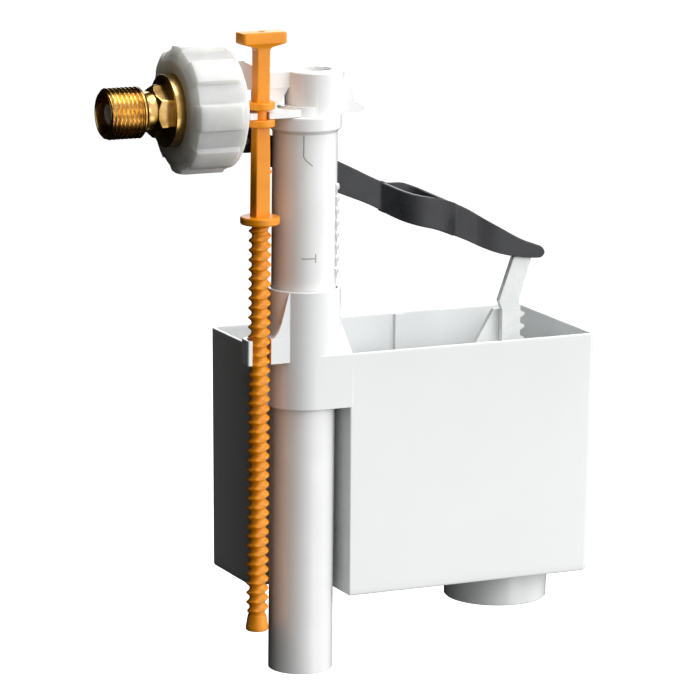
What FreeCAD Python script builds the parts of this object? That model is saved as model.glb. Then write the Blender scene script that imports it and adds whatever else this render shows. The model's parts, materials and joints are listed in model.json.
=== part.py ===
import FreeCAD, Part
import math
import os

# Float valve for a toilet cistern: a servo valve on a side inlet, an outlet
# column, and a bucket float that an adjusting screw raises and lowers.
# Millimetres, +Z up. The origin is on the inlet axis at the inner end of the
# inlet thread. +X runs along the inlet axis into the valve and +Y away from
# the screw side.

Vector = FreeCAD.Vector

# ---- fits and clearances ----
running_clearance = 0.06      # a pin turning in its hole, on the radius
sliding_gap = 0.35            # plastic on plastic, on the radius
assembly_gap = 0.1            # parts that are pushed together and stay

# ---- brass inlet connector, G 1/2 ----
thread_major_r = 20.955 / 2
thread_pitch = 1.814
thread_depth = 1.162
thread_length = 14.6
thread_chamfer = 1.1
neck_r = 8.15
neck_length = 5.8
hex_across_flats = 19.0
hex_length = 5.4
collar_r = 14.7
collar_visible = 3.8
inlet_bore_r = 7.9
inlet_inner_bore_r = 6.0
strainer_end_x = -3.0

# ---- union nut ----
nut_wall = 3.1                # outside the bore, at the bottom of a grip groove
nut_lobe_height = 1.6
nut_front_step = 3.8
nut_length = 23.8
nut_cone_length = 2.2
nut_lip = 4.5
nut_lobes = 8
nut_lobe_angle = 25.0

# ---- union thread, between the nut and the valve body ----
union_root_r = 20.2
union_depth = 1.0
union_gap = 0.3               # crest to root, on the radius
union_pitch = 2.5
union_turns = 5

# ---- diaphragm set inside the inlet ring ----
flange_thickness = 2.8
gasket_thickness = 2.0
seat_r = 18.1
seat_plate = 2.4
seat_nozzle_r = 5.2
seat_nozzle_bore_r = 3.6
seat_nozzle_height = 4.0
diaphragm_bore_r = 13.2
diaphragm_thickness = 2.2
diaphragm_lift = 1.4
cover_rim = 1.5
cover_plate = 2.2
ring_back_wall = 2.0
pilot_y = 2.0
pilot_orifice_r = 0.5
pilot_tip_r = 0.9
pilot_reach = 4.0
metering_pin_r = 0.5
metering_gap = 0.35
o_ring_section_r = 0.6
o_ring_groove_depth = 1.1
o_ring_squeeze = 0.05

# ---- valve head and column ----
column_x = 74.3
column_r = 13.4
column_wall = 2.2
column_top_z = -4.4
column_bottom_z = -238.5
column_ring_overhang = 1.6
column_ring_height = 5.4
neck_reach = 19.6
socket_step = 0.4              # the socket for the neck is this much wider than the bore
socket_room = 2.0              # between the neck's end and the socket's floor
head_offset_x = 4.0
head_r = 12.2
head_top_z = 13.5
duct_top_z = 18.9
duct_bottom_z = 6.9
vent_r = 7.0
vent_depth = 7.5
vent_shift_x = 1.0
vent_y = 1.5
nose_half_width = 5.5
rack_angle = -35.0
rack_height = 0.9
rack_width = 4.0
rack_pitch = 5.0
rack_teeth = 8
rack_top_z = -33.0

# ---- adjusting screw ----
screw_x = 50.8
screw_y = -8.2
handle_length = 19.6
handle_width = 8.6
handle_top_z = 31.3
handle_height = 4.7
upper_shaft = 5.8
lower_shaft = 6.3
screw_collar_r = 5.8
screw_collar_height = 3.0
neck_top_z = -0.2
neck_height = 4.1
screw_neck_r = 2.6
screw_flange_r = 8.1
screw_flange_z = -47.4
screw_flange_height = 3.2
screw_pitch = 4.0
screw_turns = 41
screw_root_r = 3.25
screw_crest_r = 4.6
screw_ridge_root = 2.8
screw_ridge_crest = 1.2
screw_end_r = 4.7
screw_end_height = 6.8

# ---- bucket ----
bucket_left_x = 57.3
bucket_width = 145.6
bucket_front_y = -15.6
bucket_depth = 72.6
bucket_top_z = -103.0
bucket_height = 103.5
bucket_wall = 1.6
bucket_draft = 0.9
bucket_corner_r = 2.5
bay_margin = 1.0
collar_wall = 1.85
collar_top_z = -76.2
collar_bottom_z = -125.6
clip_top_z = -95.2
clip_height = 10.5
clip_wall = 2.25
back_rib_from_left = 87.2
boss_from_right = 26.9
boss_y = 21.0
boss_r = 22.0
boss_drop = 16.0
boss_wall = 2.0
drain_r = 13.0
flap_r = 15.0
flap_thickness = 2.0
flap_open_angle = 12.0
flap_pin_r = 1.0
flap_hinge_margin = 1.6       # from the flap's edge to its hinge axis
flap_hinge_drop = 2.6         # from the bucket's floor to the hinge axis

# ---- lever, link and float ----
pivot_x = 47.0
pivot_z = -14.0
pivot_pin_r = 1.5
ear_y = 0.5
ear_width = 3.0
ear_r = 4.2
cheek = 2.3
cheek_gap = 0.3
pad_r = 2.2
lever_y = 17.5
lever_plate = 2.6
lever_arm_gap = 8.5
closing_angle = 9.5
link_pin_x = 183.0
link_pin_z = -71.0
link_pin_r = 1.2
link_width = 8.6
link_plate = 3.0
fork_gap = 0.3
fork_cheek = 1.5
rack_x = 179.0
rack_start_z = -94.0
rack_end_z = -155.0
link_tooth = 2.0
link_tooth_pitch = 5.4
post_top_z = -97.0
float_left_x = 104.0
float_width = 86.0
float_front_y = -9.0
float_depth = 58.0
float_top_z = -120.0
float_height = bucket_height - 33.5
float_corner_r = 6.0

# ---- places that follow from the sizes above ----
hex_x = neck_length
collar_x = hex_x + hex_length
nut_x = collar_x + collar_visible
nut_end_x = nut_x + nut_length
flange_x = nut_x + nut_lip + 0.3
gasket_x = flange_x + flange_thickness
ring_x = gasket_x + gasket_thickness
ring_bore_x = ring_x + seat_plate + 3.0
seat_lip_x = ring_x + seat_plate + seat_nozzle_height
diaphragm_x = seat_lip_x + diaphragm_lift
cover_x = diaphragm_x + diaphragm_thickness + 0.3
cover_back_x = cover_x + cover_rim + cover_plate
ring_end_x = cover_back_x + ring_back_wall
pilot_tip_x = cover_back_x + pilot_reach
flange_r = union_root_r + 0.4
nut_bore_r = union_root_r + union_depth + union_gap
nut_groove_r = nut_bore_r + nut_wall
nut_outer_r = nut_groove_r + nut_lobe_height
nut_front_r = nut_groove_r - nut_front_step
metering_hole_r = metering_pin_r + metering_gap
cover_r = diaphragm_bore_r - assembly_gap
o_ring_half_groove = o_ring_section_r + 0.05
cover_seal_x = cover_x + cover_rim + 0.6 + o_ring_half_groove
duct_x = ring_end_x + 3.4
head_x = column_x + head_offset_x
column_bore_r = column_r - column_wall
column_socket_r = column_bore_r + socket_step
column_neck_r = column_socket_r - assembly_gap
neck_bore_r = column_neck_r - 1.9
neck_bore_top_z = column_top_z + 2.4
neck_bottom_z = column_top_z - neck_reach
socket_bottom_z = neck_bottom_z - socket_room
neck_seal_z = neck_bottom_z + 5.0
column_ring_r = column_r + column_ring_overhang
vent_x = head_x + vent_shift_x
collar_bore_r = column_r + sliding_gap
collar_outer_r = collar_bore_r + collar_wall
bay_right_x = column_x + column_r + bay_margin
bay_back_y = column_r + bay_margin
bucket_right_x = bucket_left_x + bucket_width
bucket_back_y = bucket_front_y + bucket_depth
bucket_bottom_z = bucket_top_z - bucket_height
back_rib_x = bucket_left_x + back_rib_from_left
boss_x = bucket_right_x - boss_from_right
flap_hinge_x = boss_x - flap_r - flap_hinge_margin
flap_hinge_z = bucket_bottom_z - flap_hinge_drop
screw_thread_top_z = screw_flange_z
screw_thread_bottom_z = screw_thread_top_z - screw_pitch * screw_turns
pad_travel = -pivot_z * math.sin(math.radians(closing_angle))
pad_face_x = pilot_tip_x + pad_travel + 0.24
link_y = lever_y - link_plate / 2
fork_slot = link_plate + 2 * fork_gap
fork_width = fork_slot + 2 * fork_cheek
lever_front_y = ear_y - cheek_gap - cheek
lever_back_y = ear_y + ear_width + cheek_gap + cheek
short_arm_x = pad_face_x + 0.85


def box(x0, x1, y0, y1, z0, z1):
    return Part.makeBox(x1 - x0, y1 - y0, z1 - z0, Vector(x0, y0, z0))


def rod_x(r, x0, x1, y=0.0, z=0.0):
    return Part.makeCylinder(r, x1 - x0, Vector(x0, y, z), Vector(1, 0, 0))


def rod_y(r, y0, y1, x, z):
    return Part.makeCylinder(r, y1 - y0, Vector(x, y0, z), Vector(0, 1, 0))


def rod_z(r, z0, z1, x, y):
    return Part.makeCylinder(r, z1 - z0, Vector(x, y, z0), Vector(0, 0, 1))


def joined(shapes):
    first = shapes[0]
    return first.fuse(shapes[1:]).removeSplitter()


def prism_xz(points, y0, y1):
    """A flat plate: a closed outline in X and Z, thick from y0 to y1."""
    corners = [Vector(x, y0, z) for x, z in points]
    face = Part.Face(Part.makePolygon(corners + [corners[0]]))
    return face.extrude(Vector(0, y1 - y0, 0))


def prism_xy(points, z0, z1):
    corners = [Vector(x, y, z0) for x, y in points]
    face = Part.Face(Part.makePolygon(corners + [corners[0]]))
    return face.extrude(Vector(0, 0, z1 - z0))


def turned_about_x(profile):
    """A solid of revolution about the inlet axis, from (x, radius) points."""
    corners = [Vector(x, 0, r) for x, r in profile]
    face = Part.Face(Part.makePolygon(corners + [corners[0]]))
    return face.revolve(Vector(0, 0, 0), Vector(1, 0, 0), 360)


def ring_thread_x(first_x, count, pitch, root_r, depth, root_width, crest_width):
    """Ridges round the inlet axis, one per pitch, standing on root_r."""
    ridges = []
    for index in range(count):
        x = first_x + index * pitch
        ridges.append(turned_about_x([
            (x - root_width / 2, root_r - 0.2),
            (x - root_width / 2, root_r),
            (x - crest_width / 2, root_r + depth),
            (x + crest_width / 2, root_r + depth),
            (x + root_width / 2, root_r),
            (x + root_width / 2, root_r - 0.2)]))
    return ridges


def rounded_box(x0, x1, y0, y1, z0, z1, r):
    block = box(x0, x1, y0, y1, z0, z1)
    upright = [edge for edge in block.Edges
               if abs(edge.Vertexes[0].X - edge.Vertexes[1].X) < 1e-6
               and abs(edge.Vertexes[0].Y - edge.Vertexes[1].Y) < 1e-6]
    return block.makeFillet(r, upright)


def rounded_wire(x0, x1, y0, y1, z, r):
    c = r * (1 - math.sqrt(0.5))
    arcs = [
        [(x1 - r, y0), (x1 - c, y0 + c), (x1, y0 + r)],
        [(x1, y1 - r), (x1 - c, y1 - c), (x1 - r, y1)],
        [(x0 + r, y1), (x0 + c, y1 - c), (x0, y1 - r)],
        [(x0, y0 + r), (x0 + c, y0 + c), (x0 + r, y0)]]
    edges = []
    for index, arc in enumerate(arcs):
        start, middle, end = [Vector(x, y, z) for x, y in arc]
        following = arcs[(index + 1) % 4][0]
        edges.append(Part.Arc(start, middle, end).toShape())
        edges.append(Part.makeLine(end, Vector(following[0], following[1], z)))
    return Part.Wire(edges)


def tapered_box(x0, x1, y0, y1, z_bottom, z_top, draft, r):
    """A box with rounded upright corners that narrows towards its bottom."""
    top = rounded_wire(x0, x1, y0, y1, z_top, r)
    bottom = rounded_wire(x0 + draft, x1 - draft, y0 + draft, y1 - draft, z_bottom, r)
    return Part.makeLoft([bottom, top], True, True)


def screw_ridge():
    """One helical ridge about the screw axis, from four helices and two end caps."""
    half_root = screw_ridge_root / 2
    half_crest = screw_ridge_crest / 2
    inner_r = screw_root_r - 0.25
    section = [(inner_r, -half_root), (screw_crest_r, -half_crest),
               (screw_crest_r, half_crest), (inner_r, half_root)]
    height = screw_pitch * screw_turns
    start_z = screw_thread_bottom_z
    edges = []
    for radius, rise in section:
        helix = Part.makeHelix(screw_pitch, height, radius)
        helix.translate(Vector(0, 0, start_z + rise))
        edges.append(helix.Edges[0])
    faces = []
    for index in range(4):
        faces.append(Part.makeRuledSurface(edges[index], edges[(index + 1) % 4]))
    for z in (start_z, start_z + height):
        corners = [Vector(radius, 0, z + rise) for radius, rise in section]
        faces.append(Part.Face(Part.makePolygon(corners + [corners[0]])))
    shell = Part.makeShell(faces)
    shell.sewShape()
    ridge = Part.makeSolid(shell)
    if ridge.Volume < 0:
        ridge.reverse()
    ridge.translate(Vector(screw_x, screw_y, 0))
    return ridge


def brass_inlet_connector():
    end_x = -thread_length
    root_r = thread_major_r - thread_depth
    flat = 0.32
    slope = (thread_pitch - 2 * flat) / 2
    profile = [(end_x, root_r - 0.2), (end_x + thread_chamfer, thread_major_r)]
    grooves = int((thread_length - thread_chamfer) / thread_pitch)
    x = end_x + thread_chamfer
    for _ in range(grooves):
        profile += [(x + flat, thread_major_r), (x + flat + slope, root_r),
                    (x + flat + slope + 0.12, root_r), (x + thread_pitch, thread_major_r)]
        x += thread_pitch
    profile += [(0.0, thread_major_r), (1.6, neck_r), (hex_x + 0.2, neck_r)]
    profile += [(hex_x + 0.2, 0.0), (end_x, 0.0)]
    stub = turned_about_x(profile)
    corner_r = hex_across_flats / math.sqrt(3)
    corners = []
    for index in range(7):
        angle = math.radians(90 + 60 * index)
        corners.append(Vector(hex_x, corner_r * math.cos(angle), corner_r * math.sin(angle)))
    nut = Part.Face(Part.makePolygon(corners)).extrude(Vector(hex_length, 0, 0))
    cone = turned_about_x([
        (hex_x, 0), (hex_x, corner_r - 0.9), (hex_x + 1.2, corner_r + 0.3),
        (collar_x, corner_r + 0.3), (collar_x, 0)])
    nut = nut.common(cone)
    collar = turned_about_x([
        (collar_x, 0), (collar_x, collar_r - 0.5), (collar_x + 0.5, collar_r),
        (flange_x, collar_r), (flange_x, flange_r), (gasket_x, flange_r), (gasket_x, 0)])
    body = joined([stub, nut, collar])
    body = body.cut(rod_x(inlet_bore_r + running_clearance, end_x - 1, strainer_end_x))
    return body.cut(rod_x(inlet_inner_bore_r, end_x - 1, gasket_x + 1))


def inlet_strainer():
    front = -thread_length + 2.2
    shell = turned_about_x([
        (front, 0), (front, 4.0), (front + 7.0, 5.6), (front + 7.0, inlet_bore_r),
        (strainer_end_x - 0.05, inlet_bore_r), (strainer_end_x - 0.05, 0)])
    hollow = turned_about_x([
        (front + 1.0, 0), (front + 1.0, 3.1), (front + 7.2, 4.7),
        (strainer_end_x + 1, 4.7), (strainer_end_x + 1, 0)])
    basket = shell.cut(hollow)
    for index in range(8):
        slot = box(front + 1.8, front + 6.2, -0.45, 0.45, 2.4, 7.0)
        slot.rotate(Vector(0, 0, 0), Vector(1, 0, 0), 45 * index)
        basket = basket.cut(slot)
    for y, z in [(0, 0), (1.8, 0), (-1.8, 0), (0, 1.8), (0, -1.8)]:
        basket = basket.cut(rod_x(0.45, front - 1, front + 2, y, z))
    return basket


def flow_restrictor():
    ring = rod_x(inlet_inner_bore_r - assembly_gap, flange_x - 6.0, flange_x - 3.0)
    ring = ring.cut(rod_x(2.6, flange_x - 7, flange_x - 2))
    for index in range(4):
        angle = math.radians(45 + 90 * index)
        y, z = 4.3 * math.cos(angle), 4.3 * math.sin(angle)
        ring = ring.cut(rod_x(0.7, flange_x - 7, flange_x - 2, y, z))
    return ring


def inlet_gasket():
    ring = rod_x(flange_r - 0.6, gasket_x, ring_x)
    return ring.cut(rod_x(10.0, gasket_x - 1, ring_x + 1))


def union_nut():
    end_x = nut_end_x
    blank = turned_about_x([
        (nut_x, 0), (nut_x, nut_front_r), (nut_x + nut_cone_length, nut_groove_r),
        (end_x - 1.0, nut_groove_r), (end_x, nut_groove_r - 1.0), (end_x, 0)])
    crown = turned_about_x([
        (nut_x + 1.0, nut_front_r), (nut_x + nut_cone_length + 0.4, nut_outer_r),
        (end_x - 3.2, nut_outer_r), (end_x - 1.4, nut_groove_r + 0.3),
        (end_x - 1.4, nut_front_r)])
    reach = nut_outer_r + 2
    half = math.radians(nut_lobe_angle / 2)
    lobes = []
    for index in range(nut_lobes):
        middle = math.radians(90 + index * 360.0 / nut_lobes)
        corners = [Vector(nut_x, 0, 0)]
        for angle in (middle - half, middle, middle + half):
            corners.append(Vector(nut_x, reach * math.cos(angle), reach * math.sin(angle)))
        wedge = Part.Face(Part.makePolygon(corners + [corners[0]]))
        lobes.append(crown.common(wedge.extrude(Vector(nut_length, 0, 0))))
    nut = joined([blank] + lobes)
    nut = nut.cut(rod_x(collar_r + sliding_gap, nut_x - 1, nut_x + nut_lip + 1))
    nut = nut.cut(rod_x(nut_bore_r, nut_x + nut_lip, end_x + 1))
    first_x = ring_x + 2.0 + union_pitch / 2
    ridges = []
    for index in range(union_turns):
        x = first_x + index * union_pitch
        ridges.append(turned_about_x([
            (x - 0.6, nut_bore_r + 0.2), (x - 0.6, nut_bore_r), (x - 0.3, union_root_r + 0.35),
            (x + 0.3, union_root_r + 0.35), (x + 0.6, nut_bore_r), (x + 0.6, nut_bore_r + 0.2)]))
    return joined([nut] + ridges)


def valve_seat():
    plate = rod_x(seat_r, ring_x, ring_x + seat_plate)
    nozzle = rod_x(seat_nozzle_r, ring_x, seat_lip_x)
    lip = turned_about_x([
        (seat_lip_x - 1.2, seat_nozzle_bore_r - 1), (seat_lip_x - 1.2, seat_nozzle_r),
        (seat_lip_x, seat_nozzle_bore_r + 0.6), (seat_lip_x, seat_nozzle_bore_r - 1)])
    body = plate.fuse(nozzle.cut(rod_x(seat_nozzle_r + 1, seat_lip_x - 1.2, seat_lip_x + 1)))
    body = joined([body, lip])
    return body.cut(rod_x(seat_nozzle_bore_r, ring_x - 1, seat_lip_x + 1))


def diaphragm():
    disc_r = diaphragm_bore_r - 0.35
    end_x = diaphragm_x + diaphragm_thickness
    disc = turned_about_x([
        (diaphragm_x, 0), (diaphragm_x, 6.2), (diaphragm_x + 0.9, 7.4),
        (diaphragm_x + 0.9, disc_r - 1.6), (diaphragm_x + 0.2, disc_r),
        (end_x, disc_r), (end_x, 0)])
    return disc.cut(rod_x(metering_hole_r, diaphragm_x - 1, end_x + 1))


def metering_pin():
    return rod_x(metering_pin_r, seat_lip_x - 2.0, cover_x + cover_rim + 1.2)


def pressure_cover():
    body = rod_x(cover_r, cover_x, cover_back_x)
    body = body.cut(rod_x(cover_r - 2.2, cover_x - 1, cover_x + cover_rim))
    seal_x = cover_seal_x
    groove = rod_x(cover_r + 1, seal_x - o_ring_half_groove, seal_x + o_ring_half_groove)
    groove = groove.cut(rod_x(cover_r - o_ring_groove_depth, seal_x - 1, seal_x + 1))
    body = body.cut(groove)
    hub = rod_x(3.0, cover_back_x, cover_back_x + pilot_reach - 1.2, pilot_y)
    tip = Part.makeCone(2.0, pilot_tip_r, 1.2, Vector(pilot_tip_x - 1.2, pilot_y, 0), Vector(1, 0, 0))
    body = joined([body, hub, tip])
    body = body.cut(rod_x(pilot_orifice_r, cover_x - 1, pilot_tip_x + 1, pilot_y))
    return body.cut(rod_x(metering_pin_r, cover_x - 1, cover_x + cover_rim + 1.2))


def cover_o_ring():
    centre_r = cover_r - o_ring_section_r + o_ring_squeeze
    return Part.makeTorus(centre_r, o_ring_section_r, Vector(cover_seal_x, 0, 0), Vector(1, 0, 0))


def kidney_passage():
    """The slot above the diaphragm that carries water past it to the duct."""
    blank = rod_x(17.2, ring_bore_x - 0.1, ring_end_x + 1).cut(rod_x(14.6, ring_bore_x - 1, ring_end_x + 2))
    low, high = math.radians(-3), math.radians(50)
    corners = [Vector(0, 0, 0)]
    for angle in (low, (low + high) / 2, high):
        corners.append(Vector(0, 30 * math.sin(angle), 30 * math.cos(angle)))
    wedge = Part.Face(Part.makePolygon(corners + [corners[0]])).extrude(Vector(60, 0, 0))
    return blank.common(wedge)


def inlet_ring():
    ring = rod_x(union_root_r, ring_x, ring_end_x)
    threads = ring_thread_x(ring_x + 2.0, union_turns, union_pitch, union_root_r, union_depth, 1.3, 0.6)
    return [ring] + threads


def duct_outline():
    return [(duct_x, duct_bottom_z), (duct_x, duct_top_z), (duct_x + 1.0, duct_top_z),
            (column_x - 18.3, head_top_z), (head_x, head_top_z), (head_x, duct_bottom_z)]


def yoke_plate():
    top_z = neck_top_z - 1.2
    bottom_z = neck_top_z - neck_height + 0.2
    left_x = screw_x - 5.9
    front_y = screw_y - 3.0
    back_y = screw_y + 5.2
    plate = prism_xy([
        (left_x, front_y), (left_x, back_y - 1.4), (left_x + 1.2, back_y),
        (screw_x + 0.6, back_y), (screw_x + 3.7, 0.5), (column_x - 14.3, 5.0),
        (column_x - 4.3, 5.0), (column_x - 4.3, -9.0), (column_x - 11.3, front_y)], bottom_z, top_z)
    slot_r = screw_neck_r + sliding_gap
    plate = plate.cut(rod_z(slot_r, bottom_z - 1, top_z + 1, screw_x, screw_y))
    mouth = box(screw_x - slot_r + 0.25, screw_x + slot_r - 0.25, front_y - 1, screw_y,
                bottom_z - 1, top_z + 1)
    return plate.cut(mouth)


def valve_body():
    """Inlet ring, duct, head, column neck, screw yoke and lever ear in one moulding."""
    duct = prism_xz(duct_outline(), -2.2, 11.0)
    duct_start = box(nut_end_x + 0.5, duct_x + 2.0, -2.4, 14.9, duct_bottom_z, duct_top_z)
    web = prism_xz([(screw_x - 0.3, 7.5), (screw_x - 0.3, -1.5), (column_x - 15.8, -1.5),
                    (column_x - 12.3, 0.0), (column_x - 7.8, 7.5)], -1.6, 1.0)
    head = rod_z(head_r, column_top_z, head_top_z, head_x, 0)
    rim = [edge for edge in head.Edges if abs(edge.BoundBox.ZMin - head_top_z) < 1e-6]
    head = head.makeFillet(0.8, rim)
    neck = rod_z(column_neck_r, neck_bottom_z, column_top_z + 4.0, column_x, 0)
    nose = prism_xz([(head_x + 5.7, 12.0), (head_x + 11.2, 11.0), (head_x + 14.5, 5.5),
                     (head_x + 15.9, -0.5), (head_x + 20.3, -1.9), (head_x + 20.3, -3.2),
                     (head_x + 17.7, column_top_z), (head_x + 5.7, column_top_z)],
                    -nose_half_width, nose_half_width)
    ear = box(ring_end_x - 1.0, pivot_x, ear_y, ear_y + ear_width, pivot_z - ear_r, pivot_z + ear_r)
    ear = ear.fuse(rod_y(ear_r, ear_y, ear_y + ear_width, pivot_x, pivot_z))
    body = joined(inlet_ring() + [duct, duct_start, web, head, neck, nose, ear, yoke_plate()])
    cavities = [
        rod_x(seat_r + assembly_gap, ring_x - 1, ring_bore_x),
        rod_x(diaphragm_bore_r, ring_x, cover_back_x),
        rod_x(8.5, cover_back_x - 0.5, ring_end_x + 0.5),
        kidney_passage(),
        box(ring_end_x, duct_x + 0.6, -0.9, 13.3, duct_bottom_z + 1.6, duct_top_z - 1.5),
        box(duct_x, column_x - 2.8, -0.7, 9.5, duct_bottom_z + 1.5, head_top_z - 1.5),
        box(column_x - 5.9, column_x - 2.8, -3.5, 5.5, -4.0, head_top_z - 1.5),
        rod_z(neck_bore_r, neck_bottom_z - 1, neck_bore_top_z, column_x, 0),
        rod_z(vent_r, head_top_z - vent_depth, head_top_z + 1, vent_x, vent_y),
        rod_y(pivot_pin_r, ear_y - 1, ear_y + ear_width + 1, pivot_x, pivot_z)]
    for index in range(3):
        angle = math.radians(30 + 120 * index)
        x, y = vent_x + 3.2 * math.cos(angle), vent_y + 3.2 * math.sin(angle)
        cavities.append(rod_z(1.1, neck_bore_top_z - 1, head_top_z, x, y))
    for cavity in cavities:
        body = body.cut(cavity)
    groove = rod_z(column_neck_r + 1, neck_seal_z - o_ring_half_groove,
                   neck_seal_z + o_ring_half_groove, column_x, 0)
    core = rod_z(column_neck_r - o_ring_groove_depth, neck_seal_z - 1, neck_seal_z + 1, column_x, 0)
    return body.cut(groove.cut(core))


def column_o_ring():
    centre_r = column_neck_r - o_ring_section_r + o_ring_squeeze
    return Part.makeTorus(centre_r, o_ring_section_r, Vector(column_x, 0, neck_seal_z))


def column_rack(extra_height, extra_side, bottom_z, top_z):
    """The straight rib that carries the column's teeth, or the channel for it."""
    half = rack_width / 2 + extra_side
    rib = box(column_r - 1.0, column_r + rack_height + extra_height, -half, half, bottom_z, top_z)
    rib.rotate(Vector(0, 0, 0), Vector(0, 0, 1), rack_angle)
    rib.translate(Vector(column_x, 0, 0))
    return rib


def column_tube():
    ring = rod_z(column_ring_r, column_top_z - column_ring_height, column_top_z, column_x, 0)
    tube = rod_z(column_r, column_bottom_z, column_top_z, column_x, 0)
    body = ring.fuse(tube)
    rack_bottom_z = rack_top_z - rack_pitch * rack_teeth
    rack = column_rack(0, 0, rack_bottom_z, rack_top_z)
    for index in range(rack_teeth):
        z = rack_top_z - rack_pitch * (index + 0.7)
        notch = box(column_r, column_r + rack_height + 2, -rack_width, rack_width, z, z + rack_pitch * 0.4)
        notch.rotate(Vector(0, 0, 0), Vector(0, 0, 1), rack_angle)
        notch.translate(Vector(column_x, 0, 0))
        rack = rack.cut(notch)
    body = body.fuse(rack)
    body = body.cut(rod_z(column_bore_r, column_bottom_z - 1, column_top_z + 1, column_x, 0))
    return body.cut(rod_z(column_socket_r, socket_bottom_z, column_top_z + 1, column_x, 0))


def adjusting_screw():
    """Handle, shaft, two collars round the yoke's neck, flange, thread and end stop."""
    half_x = handle_length / 2
    half_shaft = upper_shaft / 2
    low_z = handle_top_z - handle_height
    bar = prism_xz([
        (screw_x - half_x, handle_top_z), (screw_x - half_x, low_z),
        (screw_x - half_shaft, low_z - 1.5), (screw_x + half_shaft, low_z - 1.5),
        (screw_x + half_x, low_z), (screw_x + half_x, handle_top_z)],
        screw_y - handle_width / 2, screw_y + handle_width / 2)
    ends = [edge for edge in bar.Edges
            if abs(edge.Length - handle_height) < 1e-6 and edge.BoundBox.ZLength > 1]
    bar = bar.makeFillet(1.0, ends)
    upper = box(screw_x - half_shaft, screw_x + half_shaft, screw_y - half_shaft, screw_y + half_shaft,
                neck_top_z + screw_collar_height - 0.1, low_z)
    neck_bottom = neck_top_z - neck_height
    half_lower = lower_shaft / 2
    lower = box(screw_x - half_lower, screw_x + half_lower, screw_y - half_lower, screw_y + half_lower,
                screw_flange_z, neck_bottom - screw_collar_height + 0.1)
    collars = [
        rod_z(screw_collar_r, neck_top_z, neck_top_z + screw_collar_height, screw_x, screw_y),
        rod_z(screw_collar_r, neck_bottom - screw_collar_height, neck_bottom, screw_x, screw_y),
        rod_z(screw_neck_r, neck_bottom - 0.5, neck_top_z + 0.5, screw_x, screw_y),
        rod_z(screw_flange_r, screw_flange_z, screw_flange_z + screw_flange_height, screw_x, screw_y)]
    core = rod_z(screw_root_r, screw_thread_bottom_z - screw_end_height, screw_flange_z + 0.5,
                 screw_x, screw_y)
    ridge = screw_ridge()
    stop = Part.makeCone(screw_end_r, screw_end_r - 0.5, screw_end_height,
                         Vector(screw_x, screw_y, screw_thread_bottom_z - screw_end_height))
    threaded = core.fuse(ridge)
    body = joined([bar, upper, lower] + collars)
    body = body.fuse([threaded, stop])
    dimple = rod_z(1.25, handle_top_z - 2.0, handle_top_z + 1, screw_x, screw_y)
    return body.cut(dimple)


def bucket_shell():
    x0, x1 = bucket_left_x, bucket_right_x
    y0, y1 = bucket_front_y, bucket_back_y
    bottom_z = bucket_bottom_z
    outer = tapered_box(x0, x1, y0, y1, bottom_z, bucket_top_z, bucket_draft, bucket_corner_r)
    w = bucket_wall
    inner = tapered_box(x0 + w, x1 - w, y0 + w, y1 - w, bottom_z, bucket_top_z + 1, bucket_draft,
                        bucket_corner_r - w + 0.4)
    inner = inner.cut(box(x0 - 5, x1 + 5, y0 - 5, y1 + 5, bottom_z - 5, bottom_z + w))
    inner = inner.cut(box(x0 - 5, bay_right_x + w, y0 - 5, bay_back_y + w, bottom_z - 5, bucket_top_z + 5))
    bay = box(x0 - 5, bay_right_x, y0 - 5, bay_back_y, bottom_z - 5, bucket_top_z + 5)
    return outer.cut(inner).cut(bay)


def bucket_collar():
    """The sleeve that slides on the column, and the webs that tie it to the walls."""
    tube = rod_z(collar_outer_r, collar_bottom_z, collar_top_z, column_x, 0)
    y0, w = bucket_front_y, bucket_wall
    front = box(column_x, bay_right_x + w, y0, y0 + w, collar_bottom_z, bucket_top_z)
    side = box(bucket_left_x, bucket_left_x + w, 0, bay_back_y + w, collar_bottom_z, bucket_top_z)
    corner = prism_xz([(column_x + 8, bucket_top_z), (bay_right_x + w, bucket_top_z),
                       (bay_right_x + w, bucket_top_z + 1.0), (column_x + 14.0, bucket_top_z + 8.0)],
                      y0, y0 + w)
    return [tube, front, side, corner]


def screw_clip():
    """A block open to the front that takes the screw's thread, and its gusset."""
    bottom_z = clip_top_z - clip_height
    bore_r = screw_crest_r + sliding_gap
    mouth = screw_root_r + 0.6
    front_y = screw_y - 3.0
    left_x = screw_x - mouth - clip_wall
    right_x = screw_x + mouth + clip_wall
    back_y = screw_y + screw_crest_r + 2.4
    block = prism_xy([
        (left_x, front_y), (left_x, front_y + 6.6), (left_x + 3.2, back_y),
        (column_x - 9.0, back_y + 4.0), (column_x - 9.0, front_y)], bottom_z, clip_top_z)
    gusset = prism_xz([
        (right_x - clip_wall, bottom_z), (right_x - clip_wall, clip_top_z),
        (column_x - 11.7, collar_top_z - 0.5),
        (column_x - 9.0, collar_top_z - 0.5), (column_x - 9.0, bottom_z + 2.5)],
        front_y, front_y + 1.8)
    clip = block.fuse(gusset)
    opening = rod_z(bore_r, bottom_z - 1, clip_top_z + 1, screw_x, screw_y)
    opening = opening.fuse(box(screw_x - mouth, screw_x + mouth, front_y - 1, screw_y,
                               bottom_z - 1, clip_top_z + 1))
    return clip, opening


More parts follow.
